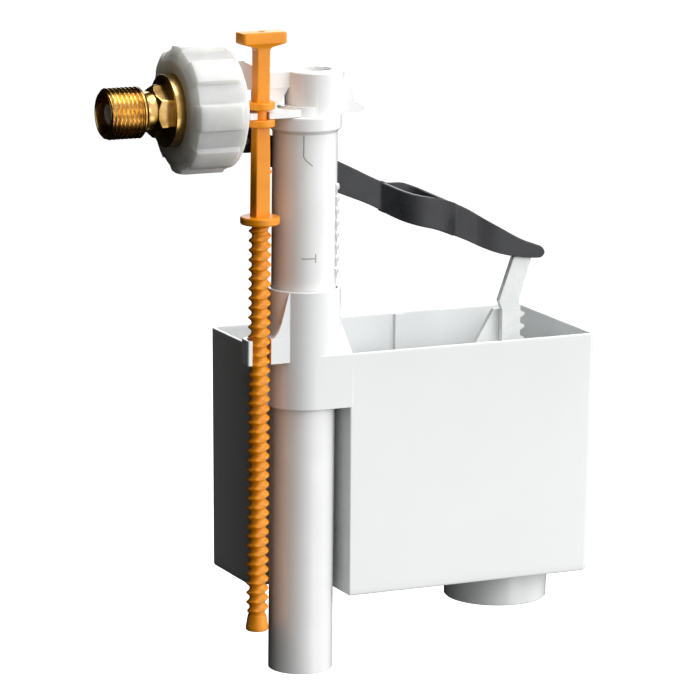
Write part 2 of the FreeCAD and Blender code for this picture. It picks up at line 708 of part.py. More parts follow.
def bucket():
    bottom_z = bucket_bottom_z
    clip, clip_opening = screw_clip()
    rib = box(back_rib_x - 2.0, back_rib_x + 2.0, bucket_back_y - bucket_wall - 1.6,
              bucket_back_y - bucket_wall, bottom_z + 1, bucket_top_z - 0.5)
    boss = rod_z(boss_r, bottom_z - boss_drop, bottom_z + 0.5, boss_x, boss_y)
    boss = boss.cut(rod_z(boss_r - boss_wall, bottom_z - boss_drop - 1, bottom_z, boss_x, boss_y))
    lugs = []
    for y in (boss_y - 5.6, boss_y + 3.6):
        lugs.append(box(flap_hinge_x - 3.2, flap_hinge_x + 2.0, y, y + 2.0,
                        flap_hinge_z - 2.2, bottom_z + 0.5))
    body = joined([bucket_shell()] + bucket_collar() + [clip, rib, boss] + lugs)
    body = body.cut(rod_z(drain_r, bottom_z - 1, bottom_z + bucket_wall + 1, boss_x, boss_y))
    body = body.cut(rod_z(collar_bore_r, bottom_z - 2, collar_top_z + 1, column_x, 0))
    channel = column_rack(0.3, 0.4, collar_bottom_z - 1, collar_top_z + 1)
    body = body.cut(channel)
    body = body.cut(rod_y(flap_pin_r, boss_y - 8, boss_y + 8, flap_hinge_x, flap_hinge_z))
    return body.cut(clip_opening)


def drain_flap():
    """Made closed against the bucket's floor, then turned down about its hinge."""
    top_z = bucket_bottom_z - 0.3
    disc = rod_z(flap_r, top_z - flap_thickness, top_z, boss_x, boss_y)
    knuckle = rod_y(2.0, boss_y - 3.2, boss_y + 3.2, flap_hinge_x, flap_hinge_z)
    arm = box(flap_hinge_x, flap_hinge_x + 4.0, boss_y - 3.2, boss_y + 3.2,
              flap_hinge_z - 1.0, flap_hinge_z + 1.6)
    flap = joined([disc, knuckle, arm])
    flap = flap.cut(rod_y(flap_pin_r + running_clearance, boss_y - 5, boss_y + 5,
                          flap_hinge_x, flap_hinge_z))
    flap.rotate(Vector(flap_hinge_x, 0, flap_hinge_z), Vector(0, 1, 0), flap_open_angle)
    return flap


def drain_flap_pin():
    return rod_y(flap_pin_r, boss_y - 5.6, boss_y + 5.6, flap_hinge_x, flap_hinge_z)


def smooth_outline(upper, lower, y0, y1):
    """A plate whose upper and lower edges are smooth curves through a few points."""
    top = Part.BSplineCurve()
    top.interpolate([Vector(x, y0, z) for x, z in upper])
    under = Part.BSplineCurve()
    under.interpolate([Vector(x, y0, z) for x, z in lower])
    start = Part.makeLine(Vector(lower[-1][0], y0, lower[-1][1]), Vector(upper[0][0], y0, upper[0][1]))
    end = Part.Arc(Vector(upper[-1][0], y0, upper[-1][1]),
                   Vector(upper[-1][0] + 1.9, y0, (upper[-1][1] + lower[0][1]) / 2),
                   Vector(lower[0][0], y0, lower[0][1])).toShape()
    wire = Part.Wire([start, top.toShape(), end, under.toShape()])
    return Part.Face(wire).extrude(Vector(0, y1 - y0, 0))


def lever_strip(path, width):
    """A strip of even width along a plan path, tall enough to be cut to outline."""
    pieces = []
    for (x0, y0), (x1, y1) in zip(path, path[1:]):
        length = math.hypot(x1 - x0, y1 - y0)
        nx, ny = -(y1 - y0) / length * width / 2, (x1 - x0) / length * width / 2
        pieces.append(prism_xy([(x0 + nx, y0 + ny), (x1 + nx, y1 + ny), (x1 - nx, y1 - ny),
                                (x0 - nx, y0 - ny)], -90, 5))
    for x, y in path[1:-1]:
        pieces.append(rod_z(width / 2, -90, 5, x, y))
    return joined(pieces)


def bowed_path(side, start_x, end_x):
    """Plan points of one arm of the loop: a half wave out and back."""
    points = []
    steps = 8
    for index in range(steps + 1):
        share = index / steps
        x = start_x + (end_x - start_x) * share
        points.append((x, lever_y + side * lever_arm_gap * math.sin(math.pi * share)))
    return points


def lever():
    upper = [(41.0, -5.0), (98.4, -28.8), (115.0, -37.0), (127.0, -42.4), (141.0, -45.8),
             (155.0, -51.0), (170.0, -59.6), (183.6, -67.0), (191.6, -70.0)]
    lower = [(191.2, -75.2), (184.0, -74.6), (170.0, -71.4), (156.0, -65.2), (141.5, -59.5),
             (124.0, -54.0), (113.6, -48.4), (98.5, -42.1), (41.0, -18.0)]
    blade = smooth_outline(upper, lower, -30, 50)
    far_upper = [(110.0, -34.0), (119.0, -38.6), (132.0, -41.0), (145.3, -46.6), (160.0, -54.4)]
    far_lower = [(160.0, -67.2), (147.5, -61.8), (132.0, -56.0), (119.0, -51.4), (110.0, -46.6)]
    far_blade = smooth_outline(far_upper, far_lower, -30, 50)
    front_y, back_y = lever_front_y, lever_back_y
    bend = [(53.0, (front_y + back_y) / 2 + 1.5), (64.0, lever_y), (118.0, lever_y)]
    strips = [lever_strip(bend, lever_plate),
              lever_strip(bowed_path(-1, 117.0, 152.0), lever_plate),
              lever_strip([(151.0, lever_y), (178.0, lever_y)], lever_plate)]
    half_fork = fork_width / 2
    fork = box(174.0, 196.0, lever_y - half_fork, lever_y + half_fork, -90, -50)
    knuckle = box(pivot_x + ear_r + 0.4, 56.0, front_y, back_y, -40, 0)
    long_arm = joined(strips + [fork, knuckle]).common(blade)
    far_arm = lever_strip(bowed_path(1, 117.0, 152.0), lever_plate).common(far_blade)
    cheeks = box(pivot_x - 4.5, pivot_x + 7.0, front_y, back_y, pivot_z - 5.0, pivot_z + 6.6)
    cheeks = cheeks.common(rod_y(5.0, front_y, back_y, pivot_x, pivot_z).fuse(
        box(pivot_x, pivot_x + 7.0, front_y, back_y, pivot_z - 5.0, pivot_z + 4.0)))
    short_arm = box(short_arm_x, short_arm_x + 3.4, front_y, back_y, pivot_z, 2.5)
    body = joined([long_arm, far_arm, cheeks, short_arm])
    ear_room = box(pivot_x - 12, pivot_x + ear_r + 0.4, ear_y - cheek_gap, ear_y + ear_width + cheek_gap,
                   pivot_z - ear_r - 6, pivot_z + ear_r + 1.2)
    slot_half = fork_slot / 2
    link_room = box(link_pin_x - 7.0, link_pin_x + 6.6, lever_y - slot_half, lever_y + slot_half, -90, -68.2)
    body = body.cut(ear_room).cut(link_room)
    body = body.cut(rod_y(pivot_pin_r + running_clearance, front_y - 1, back_y + 1, pivot_x, pivot_z))
    body = body.cut(rod_y(link_pin_r, lever_y - 6, lever_y + 6, link_pin_x, link_pin_z))
    return body.cut(rod_x(pad_r + assembly_gap, short_arm_x - 1, short_arm_x + 1.6, pilot_y))


def pilot_seal_pad():
    return rod_x(pad_r, pad_face_x, short_arm_x + 1.5, pilot_y)


def lever_pivot_pin():
    return rod_y(pivot_pin_r, lever_front_y - 0.2, lever_back_y + 0.4, pivot_x, pivot_z)


def link_pin():
    return rod_y(link_pin_r, lever_y - fork_width / 2 - 0.2, lever_y + fork_width / 2 + 0.4,
                 link_pin_x, link_pin_z)


def link_rod():
    """A leaning arm below the pin that turns into an upright toothed rack."""
    half = link_width / 2
    arm = prism_xz([
        (link_pin_x - half + 1.0, link_pin_z - 3.5), (rack_x - half - 1.6, rack_start_z + 1.0),
        (rack_x - half, rack_start_z - 3.0), (rack_x + half, rack_start_z - 3.0),
        (rack_x + half - 0.6, rack_start_z + 1.0), (link_pin_x + half + 0.8, link_pin_z - 3.5)],
        link_y, link_y + link_plate)
    eye = rod_y(2.6, link_y, link_y + link_plate, link_pin_x, link_pin_z)
    throat = box(link_pin_x - 2.6, link_pin_x + 2.6, link_y, link_y + link_plate, link_pin_z - 4.5, link_pin_z)
    rack = box(rack_x - half, rack_x + half, link_y, link_y + link_plate, rack_end_z, rack_start_z - 2.0)
    teeth = []
    z = rack_start_z - 3.5
    while z - link_tooth_pitch > rack_end_z:
        teeth.append(prism_xz([(rack_x + half - 0.5, z), (rack_x + half + link_tooth, z - 1.2),
                               (rack_x + half + link_tooth, z - 2.2), (rack_x + half - 0.5, z - 3.6)],
                              link_y, link_y + link_plate))
        z -= link_tooth_pitch
    body = joined([arm, eye, throat, rack] + teeth)
    return body.cut(rod_y(link_pin_r + running_clearance, link_y - 1, link_y + link_plate + 1,
                          link_pin_x, link_pin_z))


def float_post():
    """The web behind the rack, and the frame that the rack slides through."""
    half = link_width / 2
    web_y = link_y + link_plate + 0.4
    web = prism_xz([
        (rack_x - half - 2.4, post_top_z), (rack_x - half - 10.0, post_top_z - 12.5),
        (rack_x - half - 12.0, float_top_z), (rack_x + half + 3.6, float_top_z),
        (rack_x + half, post_top_z - 7.0), (rack_x + half - 3.0, post_top_z)],
        web_y, web_y + 2.4)
    gap = 0.4
    frame = box(rack_x - half - 2.2, rack_x + half + link_tooth + 2.2, link_y - 2.2, web_y + 2.4,
                float_top_z, float_top_z + 6.0)
    window = box(rack_x - half - gap, rack_x + half + link_tooth + gap, link_y - gap, web_y,
                 float_top_z - 1, float_top_z + 7.0)
    foot = box(rack_x - half - 12.0, rack_x + half + link_tooth + 6.0, link_y - 5.0, web_y + 6.0,
               float_top_z, float_top_z + 1.6)
    return joined([web, frame, foot]).cut(window)


def float_block():
    x1 = float_left_x + float_width
    y1 = float_front_y + float_depth
    block = rounded_box(float_left_x, x1, float_front_y, y1, float_top_z - float_height, float_top_z,
                        float_corner_r)
    half = link_width / 2
    slot = box(rack_x - half - 1.0, rack_x + half + link_tooth + 1.0, link_y - 1.0,
               link_y + link_plate + 1.0, rack_end_z - 18.0, float_top_z + 1)
    return block.cut(slot)


builders = {
    "brass_inlet_connector": brass_inlet_connector,
    "inlet_strainer": inlet_strainer,
    "flow_restrictor": flow_restrictor,
    "inlet_gasket": inlet_gasket,
    "union_nut": union_nut,
    "valve_seat": valve_seat,
    "diaphragm": diaphragm,
    "metering_pin": metering_pin,
    "pressure_cover": pressure_cover,
    "cover_o_ring": cover_o_ring,
    "valve_body": valve_body,
    "column_o_ring": column_o_ring,
    "column_tube": column_tube,
    "adjusting_screw": adjusting_screw,
    "bucket": bucket,
    "drain_flap": drain_flap,
    "drain_flap_pin": drain_flap_pin,
    "lever": lever,
    "pilot_seal_pad": pilot_seal_pad,
    "lever_pivot_pin": lever_pivot_pin,
    "link_pin": link_pin,
    "link_rod": link_rod,
    "float_post": float_post,
    "float_block": float_block,
}

os.makedirs("parts", exist_ok=True)
for name, build in builders.items():
    shape = build()
    print(name, "solids", len(shape.Solids), "valid", shape.isValid(), "volume", round(shape.Volume, 1))
    shape.exportStep("parts/" + name + ".step")
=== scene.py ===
import json
import math
import bmesh
import bpy
import numpy as np
from mathutils import Matrix, Vector

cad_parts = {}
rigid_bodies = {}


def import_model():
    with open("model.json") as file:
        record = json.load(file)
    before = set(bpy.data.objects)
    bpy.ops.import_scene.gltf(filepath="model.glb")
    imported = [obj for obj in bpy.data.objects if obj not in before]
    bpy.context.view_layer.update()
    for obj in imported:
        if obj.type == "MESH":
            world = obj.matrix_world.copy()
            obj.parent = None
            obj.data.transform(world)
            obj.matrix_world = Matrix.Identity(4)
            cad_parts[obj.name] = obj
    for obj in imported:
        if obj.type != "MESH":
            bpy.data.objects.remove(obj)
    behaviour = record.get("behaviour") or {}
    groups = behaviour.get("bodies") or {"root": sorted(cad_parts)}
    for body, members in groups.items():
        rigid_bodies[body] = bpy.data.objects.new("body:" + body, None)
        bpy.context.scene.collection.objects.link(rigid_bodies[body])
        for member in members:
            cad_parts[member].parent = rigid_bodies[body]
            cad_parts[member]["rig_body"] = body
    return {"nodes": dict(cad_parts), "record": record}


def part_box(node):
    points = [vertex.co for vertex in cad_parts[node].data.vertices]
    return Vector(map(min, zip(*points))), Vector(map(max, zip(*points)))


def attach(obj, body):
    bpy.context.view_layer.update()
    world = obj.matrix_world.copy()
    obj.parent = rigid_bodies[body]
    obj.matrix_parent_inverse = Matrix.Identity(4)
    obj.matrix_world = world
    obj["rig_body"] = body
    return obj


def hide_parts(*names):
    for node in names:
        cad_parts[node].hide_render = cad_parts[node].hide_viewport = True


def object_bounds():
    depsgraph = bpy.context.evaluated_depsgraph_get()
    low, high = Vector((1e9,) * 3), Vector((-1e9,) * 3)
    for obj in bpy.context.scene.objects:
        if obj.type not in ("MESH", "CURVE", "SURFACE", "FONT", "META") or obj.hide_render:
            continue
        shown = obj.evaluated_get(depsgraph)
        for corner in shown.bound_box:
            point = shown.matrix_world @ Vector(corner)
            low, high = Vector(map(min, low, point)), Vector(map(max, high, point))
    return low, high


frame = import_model()
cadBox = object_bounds()
print("frame loaded:", len(frame["nodes"]), "nodes")

mm = 0.001


def linearColour(hexText):
    parts = [int(hexText[i:i + 2], 16) / 255 for i in (1, 3, 5)]
    return tuple(c / 12.92 if c <= 0.04045 else ((c + 0.055) / 1.055) ** 2.4 for c in parts) + (1.0,)


def perMm(size):
    return 1000.0 / size  # a pattern's scale from its real size in millimetres


def addNode(tree, kind, settings, links):
    node = tree.nodes.new(kind)
    for name, value in settings.items():
        if name == "stops":
            ramp = node.color_ramp.elements
            ramp[0].position, ramp[0].color = value[0]
            ramp[1].position, ramp[1].color = value[-1]
            for place, colour in value[1:-1]:
                ramp.new(place).color = colour
        elif isinstance(name, int) or name in node.inputs:
            node.inputs[name].default_value = value
        else:
            setattr(node, name, value)
    for name, socket in links.items():
        tree.links.new(socket, node.inputs[name])
    return node


def grey(value):
    return (value, value, value, 1.0)


def startMaterial(name):
    material = bpy.data.materials.new(name)
    material.use_nodes = True
    tree = material.node_tree
    tree.nodes.clear()
    place = addNode(tree, "ShaderNodeTexCoord", {}, {}).outputs["Object"]
    return material, tree, place


def endMaterial(tree, shader):
    addNode(tree, "ShaderNodeOutputMaterial", {}, {"Surface": shader.outputs[0]})


# Injection-moulded plastic: the melt's slow flow shifts its tone, and the mould's polish sets its gloss.
def mouldedPlastic(name, look):
    material, tree, place = startMaterial(name)
    flow = addNode(tree, "ShaderNodeTexNoise",
                   {"Scale": perMm(look["flowMm"]), "Detail": 3.0, "Roughness": 0.55, "Distortion": 0.6},
                   {"Vector": place})
    tone = addNode(tree, "ShaderNodeValToRGB",
                   {"stops": [(0.32, linearColour(look["darker"])), (0.68, linearColour(look["lighter"]))]},
                   {"Fac": flow.outputs["Fac"]})
    polish = addNode(tree, "ShaderNodeTexNoise", {"Scale": perMm(look["polishMm"]), "Detail": 4.0},
                     {"Vector": place})
    gloss = addNode(tree, "ShaderNodeMapRange",
                    {"From Min": 0.3, "From Max": 0.7, "To Min": look["glossy"], "To Max": look["dull"]},
                    {"Value": polish.outputs["Fac"]})
    grain = addNode(tree, "ShaderNodeTexNoise", {"Scale": perMm(look["grainMm"]), "Detail": 2.0},
                    {"Vector": place})
    sink = addNode(tree, "ShaderNodeBump", {"Strength": look["sink"], "Distance": 0.0004},
                   {"Height": flow.outputs["Fac"]})
    bump = addNode(tree, "ShaderNodeBump", {"Strength": look["grain"], "Distance": 0.00006},
                   {"Height": grain.outputs["Fac"], "Normal": sink.outputs["Normal"]})
    shader = addNode(tree, "ShaderNodeBsdfPrincipled",
                     {"IOR": look["ior"], "Subsurface Weight": look["depth"],
                      "Subsurface Radius": look["reach"], "Subsurface Scale": look["depthMm"] * mm},
                     {"Base Color": tone.outputs["Color"], "Roughness": gloss.outputs["Result"],
                      "Normal": bump.outputs["Normal"]})
    endMaterial(tree, shader)
    return material


# Brass bar turned on a lathe: fine rings round the axis, warm tone, and a little tarnish in patches.
def turnedBrass(name, look):
    material, tree, place = startMaterial(name)
    rings = addNode(tree, "ShaderNodeTexWave",
                    {"wave_type": "BANDS", "bands_direction": "X", "Scale": perMm(look["ringMm"]) / 20,
                     "Distortion": 1.2, "Detail": 2.0, "Detail Scale": 3.0}, {"Vector": place})
    patches = addNode(tree, "ShaderNodeTexNoise", {"Scale": perMm(look["patchMm"]), "Detail": 5.0},
                      {"Vector": place})
    tone = addNode(tree, "ShaderNodeValToRGB",
                   {"stops": [(0.28, linearColour(look["tarnish"])), (0.5, linearColour(look["metal"])),
                              (0.78, linearColour(look["bright"]))]}, {"Fac": patches.outputs["Fac"]})
    gloss = addNode(tree, "ShaderNodeMapRange", {"To Min": look["glossy"], "To Max": look["dull"]},
                    {"Value": patches.outputs["Fac"]})
    bump = addNode(tree, "ShaderNodeBump", {"Strength": look["rings"], "Distance": 0.00002},
                   {"Height": rings.outputs["Fac"]})
    shader = addNode(tree, "ShaderNodeBsdfPrincipled", {"Metallic": 1.0},
                     {"Base Color": tone.outputs["Color"], "Roughness": gloss.outputs["Result"],
                      "Normal": bump.outputs["Normal"]})
    endMaterial(tree, shader)
    return material


# Stainless wire pulled through a die: long faint lines and a soft grey shine.
def drawnSteel(name, look):
    material, tree, place = startMaterial(name)
    lines = addNode(tree, "ShaderNodeTexNoise", {"Scale": perMm(look["lineMm"]), "Detail": 3.0},
                    {"Vector": place})
    tone = addNode(tree, "ShaderNodeValToRGB",
                   {"stops": [(0.35, linearColour(look["darker"])), (0.65, linearColour(look["lighter"]))]},
                   {"Fac": lines.outputs["Fac"]})
    gloss = addNode(tree, "ShaderNodeMapRange", {"To Min": 0.22, "To Max": 0.4},
                    {"Value": lines.outputs["Fac"]})
    shader = addNode(tree, "ShaderNodeBsdfPrincipled", {"Metallic": 1.0},
                     {"Base Color": tone.outputs["Color"], "Roughness": gloss.outputs["Result"]})
    endMaterial(tree, shader)
    return material


# Expanded polystyrene: pressed beads whose edges show as a net of shallow grooves; the colour is painted darker in
# the grooves as painted shade.
def beadFoam(name, look):
    material, tree, place = startMaterial(name)
    beads = addNode(tree, "ShaderNodeTexVoronoi",
                    {"feature": "DISTANCE_TO_EDGE", "Scale": perMm(look["beadMm"])}, {"Vector": place})
    # painted shade: this mask darkens the colour towards the bead edges, where the grooves' shade falls
    paintedGrooveShade = addNode(tree, "ShaderNodeMapRange", {"From Min": 0.0, "From Max": 0.12},
                   {"Value": beads.outputs["Distance"]})
    tone = addNode(tree, "ShaderNodeValToRGB",
                   {"stops": [(0.0, linearColour(look["paintedGrooveShade"])), (1.0, linearColour(look["bead"]))]},
                   {"Fac": paintedGrooveShade.outputs["Result"]})
    bump = addNode(tree, "ShaderNodeBump", {"Strength": 0.6, "Distance": 0.0003}, {"Height": paintedGrooveShade.outputs["Result"]})
    shader = addNode(tree, "ShaderNodeBsdfPrincipled",
                     {"Roughness": 0.75, "Subsurface Weight": 0.25, "Subsurface Scale": 0.002,
                      "Subsurface Radius": (1.0, 1.0, 1.0)},
                     {"Base Color": tone.outputs["Color"], "Normal": bump.outputs["Normal"]})
    endMaterial(tree, shader)
    return material


# Pressed EPDM rubber: nearly black, with a dusty bloom that greys it in patches.
def mouldedRubber(name, look):
    material, tree, place = startMaterial(name)
    bloom = addNode(tree, "ShaderNodeTexNoise", {"Scale": perMm(look["bloomMm"]), "Detail": 5.0},
                    {"Vector": place})
    tone = addNode(tree, "ShaderNodeValToRGB",
                   {"stops": [(0.35, linearColour(look["rubber"])), (0.75, linearColour(look["bloom"]))]},
                   {"Fac": bloom.outputs["Fac"]})
    gloss = addNode(tree, "ShaderNodeMapRange", {"To Min": 0.5, "To Max": 0.75}, {"Value": bloom.outputs["Fac"]})
    shader = addNode(tree, "ShaderNodeBsdfPrincipled", {"IOR": 1.52},
                     {"Base Color": tone.outputs["Color"], "Roughness": gloss.outputs["Result"]})
    endMaterial(tree, shader)
    return material


plasticDefaults = {"flowMm": 26.0, "polishMm": 9.0, "grainMm": 0.8, "sink": 0.1, "grain": 0.15,
                   "ior": 1.5, "depth": 0.0, "reach": (1.0, 1.0, 1.0), "depthMm": 1.0}
finishes = {
    # white ABS from a polished mould: clean white, clear soft reflections
    "white_plastic": mouldedPlastic("absWhiteMoulded", dict(
        plasticDefaults, lighter="#F1F2F1", darker="#ECEDEC", glossy=0.13, dull=0.21, depth=0.08)),
    # white polystyrene sheet walls: cooler and glossier, with shallow sink marks
    "bucket_plastic": mouldedPlastic("polystyreneWhiteMoulded", dict(
        plasticDefaults, lighter="#ECEEEE", darker="#E9EBEB", glossy=0.12, dull=0.17, sink=0.04,
        flowMm=60.0)),
    # unpigmented polypropylene: milky, light goes in and comes out further on
    "natural_plastic": mouldedPlastic("polypropyleneNatural", dict(
        plasticDefaults, lighter="#E2E3DC", darker="#D5D6CD", glossy=0.26, dull=0.38, depth=0.75,
        reach=(1.0, 0.97, 0.86), depthMm=5.0, flowMm=14.0, grain=0.3)),
    # the same polypropylene thick and on its own threads: greyer, warmer where light dies inside
    "nut_plastic": mouldedPlastic("polypropyleneThick", dict(
        plasticDefaults, lighter="#E0E0DB", darker="#D6D6CF", glossy=0.3, dull=0.42, depth=0.95,
        reach=(1.0, 0.96, 0.88), depthMm=14.0, flowMm=14.0, grain=0.3)),
    # the same in thin plate: nearly clear of colour, with a cold soft shine
    "thin_plastic": mouldedPlastic("polypropyleneThin", dict(
        plasticDefaults, lighter="#EDEFEE", darker="#E3E6E5", glossy=0.22, dull=0.34, depth=0.45,
        reach=(1.0, 1.0, 0.96), depthMm=1.5, flowMm=14.0, grain=0.25)),
    # orange acetal: strong even colour that deepens where it turns away, satin shine
    "orange_plastic": mouldedPlastic("acetalOrangeMoulded", dict(
        plasticDefaults, lighter="#F59A04", darker="#EC8F02", glossy=0.3, dull=0.4, depth=0.1,
        reach=(1.0, 0.45, 0.08), depthMm=1.2, flowMm=9.0)),
    # black acetal: satin, the grain of the mould breaks up the reflections
    "black_plastic": mouldedPlastic("acetalBlackMoulded", dict(
        plasticDefaults, lighter="#25262A", darker="#18191C", glossy=0.24, dull=0.38, flowMm=18.0,
        grain=0.35, sink=0.2)),
    # grey-white nylon of the strainer
    "grey_plastic": mouldedPlastic("nylonGreyMoulded", dict(
        plasticDefaults, lighter="#EAEAE8", darker="#DCDCDA", glossy=0.3, dull=0.42, depth=0.3,
        depthMm=2.0, flowMm=7.0)),
    "brass": turnedBrass("brassTurned", {"ringMm": 0.5, "patchMm": 7.0, "tarnish": "#9A7437",
                                         "metal": "#CDA661", "bright": "#E6C689", "glossy": 0.16,
                                         "dull": 0.26, "rings": 0.25}),
    "steel": drawnSteel("stainlessDrawn", {"lineMm": 0.6, "darker": "#8F9194", "lighter": "#B9BBBE"}),
    # the foam's darker groove colour is painted shade
    "foam": beadFoam("polystyreneBeadFoam", {"beadMm": 4.0, "paintedGrooveShade": "#D6D8D8", "bead": "#F0F1F1"}),
    "rubber": mouldedRubber("epdmPressed", {"bloomMm": 4.0, "rubber": "#141416", "bloom": "#2C2D30"}),
}
slotOfNode = {part["node"]: part["material_slot"] for part in frame["record"]["subparts"]}
for nodeName, nodeObject in frame["nodes"].items():
    for materialSlot in nodeObject.material_slots:
        materialSlot.material = finishes[slotOfNode[nodeName]]
print("materials made:", len(finishes))


studio = {"floorDropMm": 160.0, "floorSize": 14.0, "worldLow": 0.07, "worldHigh": 0.88, "worldPeak": 1.31,
          "lightFrom": (0.60, -0.72, 0.34), "topWatts": 9.0, "sideWatts": 5.0, "sheenWatts": 1.3,
          "backWatts": 5.0, "lowWatts": 1.8}


# Faces of a two-parameter grid; a looped direction joins its last line to its first.
def quadsOf(rows, columns, loopRows, loopColumns):
    index = np.arange(rows * columns).reshape(rows, columns)
    i = np.arange(rows if loopRows else rows - 1)[:, None]
    j = np.arange(columns if loopColumns else columns - 1)[None, :]
    nextI, nextJ = (i + 1) % rows, (j + 1) % columns
    quads = np.stack([index[i, j], index[nextI, j], index[nextI, nextJ], index[i, nextJ]], axis=-1)
    return quads.reshape(-1, 4).tolist()


# One object from (points, faces) shells in millimetres; doubles go, and faces turn outwards.
def pieceFrom(name, parts, material):
    points, faces, start = [], [], 0
    for partPoints, partFaces in parts:
        flat = np.asarray(partPoints, float).reshape(-1, 3) * mm
        points.append(flat)
        faces += [[k + start for k in face] for face in partFaces]
        start += len(flat)
    mesh = bpy.data.meshes.new(name)
    mesh.from_pydata(np.concatenate(points).tolist(), [], faces)
    tidy = bmesh.new()
    tidy.from_mesh(mesh)
    bmesh.ops.remove_doubles(tidy, verts=tidy.verts, dist=2e-7)
    bmesh.ops.dissolve_degenerate(tidy, edges=tidy.edges, dist=1e-7)
    bmesh.ops.recalc_face_normals(tidy, faces=tidy.faces)
    tidy.to_mesh(mesh)
    tidy.free()
    mesh.materials.append(material)
    return placed(name, mesh)


def placed(name, mesh):
    mesh.polygons.foreach_set("use_smooth", np.ones(len(mesh.polygons), bool))
    mesh.set_sharp_from_angle(angle=math.radians(40))
    mesh.update()
    piece = bpy.data.objects.new(name, mesh)
    bpy.context.scene.collection.objects.link(piece)
    piece.modifiers.new("evenShading", "WEIGHTED_NORMAL").keep_sharp = True
    return piece


# The piece rides on its node's body and hides the node.
def standFor(piece, node):
    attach(piece, frame["nodes"][node]["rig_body"])
    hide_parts(node)
    print("piece made:", piece.name, len(piece.data.polygons), "faces")


floorSide = np.linspace(-studio["floorSize"], studio["floorSize"], 9) * 500
floorX, floorY = np.meshgrid(floorSide, floorSide, indexing="ij")
floorPoints = np.stack([floorX, floorY, np.full_like(floorX, cadBox[0].z / mm - studio["floorDropMm"])],
                       axis=-1)
floorMaterial, floorTree, floorPlace = startMaterial("paperSweep")
floorTone = addNode(floorTree, "ShaderNodeTexNoise", {"Scale": 3.0}, {"Vector": floorPlace})
floorColour = addNode(floorTree, "ShaderNodeValToRGB",
                      {"stops": [(0.0, grey(0.93)), (1.0, grey(0.95))]}, {"Fac": floorTone.outputs["Fac"]})
floorShader = addNode(floorTree, "ShaderNodeBsdfPrincipled",
                      {"Roughness": 0.9, "Emission Color": grey(1.0), "Emission Strength": 0.6},
                      {"Base Color": floorColour.outputs["Color"]})
endMaterial(floorTree, floorShader)
floor = pieceFrom("paperFloor", [(floorPoints, quadsOf(9, 9, False, False))], floorMaterial)
floor.visible_diffuse = False  # a white floor lights the object from below, which this studio hasn't
floor.visible_glossy = False
floor.visible_transmission = False

world = bpy.data.worlds.new("studioWorld")
bpy.context.scene.world = world
world.use_nodes = True
worldTree = world.node_tree
worldTree.nodes.clear()
direction = addNode(worldTree, "ShaderNodeTexCoord", {}, {}).outputs["Generated"]
facing = addNode(worldTree, "ShaderNodeVectorMath",
                 {"operation": "DOT_PRODUCT", 1: tuple(Vector(studio["lightFrom"]).normalized())},
                 {0: direction})
soft = addNode(worldTree, "ShaderNodeMapRange",
               {"interpolation_type": "SMOOTHSTEP", "From Min": studio["worldLow"],
                "From Max": studio["worldHigh"], "To Min": 0.004, "To Max": studio["worldPeak"]},
               {"Value": facing.outputs["Value"]})
seen = addNode(worldTree, "ShaderNodeLightPath", {}, {})
pale = addNode(worldTree, "ShaderNodeMix", {"data_type": "FLOAT", 3: 1.0},
               {0: seen.outputs["Is Camera Ray"], 2: soft.outputs["Result"]})
background = addNode(worldTree, "ShaderNodeBackground", {"Color": grey(1.0)}, {"Strength": pale.outputs[0]})
addNode(worldTree, "ShaderNodeOutputWorld", {}, {"Surface": background.outputs[0]})


def softbox(name, place, target, size, watts):
    light = bpy.data.lights.new(name, "AREA")
    light.shape, light.size, light.energy = "SQUARE", size, watts
    lamp = bpy.data.objects.new(name, light)
    lamp.location = place
    lamp.rotation_mode = "QUATERNION"
    lamp.rotation_quaternion = (Vector(target) - Vector(place)).to_track_quat("-Z", "Y")
    bpy.context.scene.collection.objects.link(lamp)
    return lamp


middle = (cadBox[0] + cadBox[1]) / 2
softbox("topSoftbox", middle + Vector((0.15, -0.1, 1.1)), middle, 0.8, studio["topWatts"])
softbox("sideSoftbox", middle + Vector((0.9, -0.9, 0.35)), middle, 0.5, studio["sideWatts"])
softbox("lowSoftbox", middle + Vector((0.5, -1.1, -0.6)), middle, 0.6, studio["lowWatts"])
softbox("backSoftbox", middle + Vector((0.6, 1.3, 0.5)), middle, 0.8, studio["backWatts"])
sheen = softbox("sheenCard", middle + Vector((-1.1, 0.3, 0.25)), middle, 0.6, studio["sheenWatts"])
sheen.visible_diffuse = False  # a card that only shines in metal, for the thread's near flanks

cameraView = {"azimuth": -25.2, "elevation": 11.9, "roll": 0.671, "distance": 1.78, "lens": 229.05,
              "target": (0.0674, -0.0603, -0.0909)}
turn, rise = math.radians(cameraView["azimuth"]), math.radians(cameraView["elevation"])
lean = math.radians(cameraView["roll"])
sight = Vector((math.sin(turn) * math.cos(rise), -math.cos(turn) * math.cos(rise), math.sin(rise)))
level = Vector((math.cos(turn), math.sin(turn), 0))
above = sight.cross(level)
right = math.cos(lean) * level + math.sin(lean) * above
upward = -math.sin(lean) * level + math.cos(lean) * above
camera = bpy.data.objects.new("studioCamera", bpy.data.cameras.new("studioCamera"))
camera.data.lens = cameraView["lens"]
camera.data.sensor_width = 36.0
camera.data.clip_end = 50.0
camera.rotation_mode = "QUATERNION"
camera.rotation_quaternion = Matrix((right, upward, sight)).transposed().to_quaternion()
camera.location = Vector(cameraView["target"]) + sight * cameraView["distance"]
bpy.context.scene.collection.objects.link(camera)
bpy.context.scene.camera = camera
bpy.context.scene.view_settings.view_transform = "Standard"
print("studio and camera set")

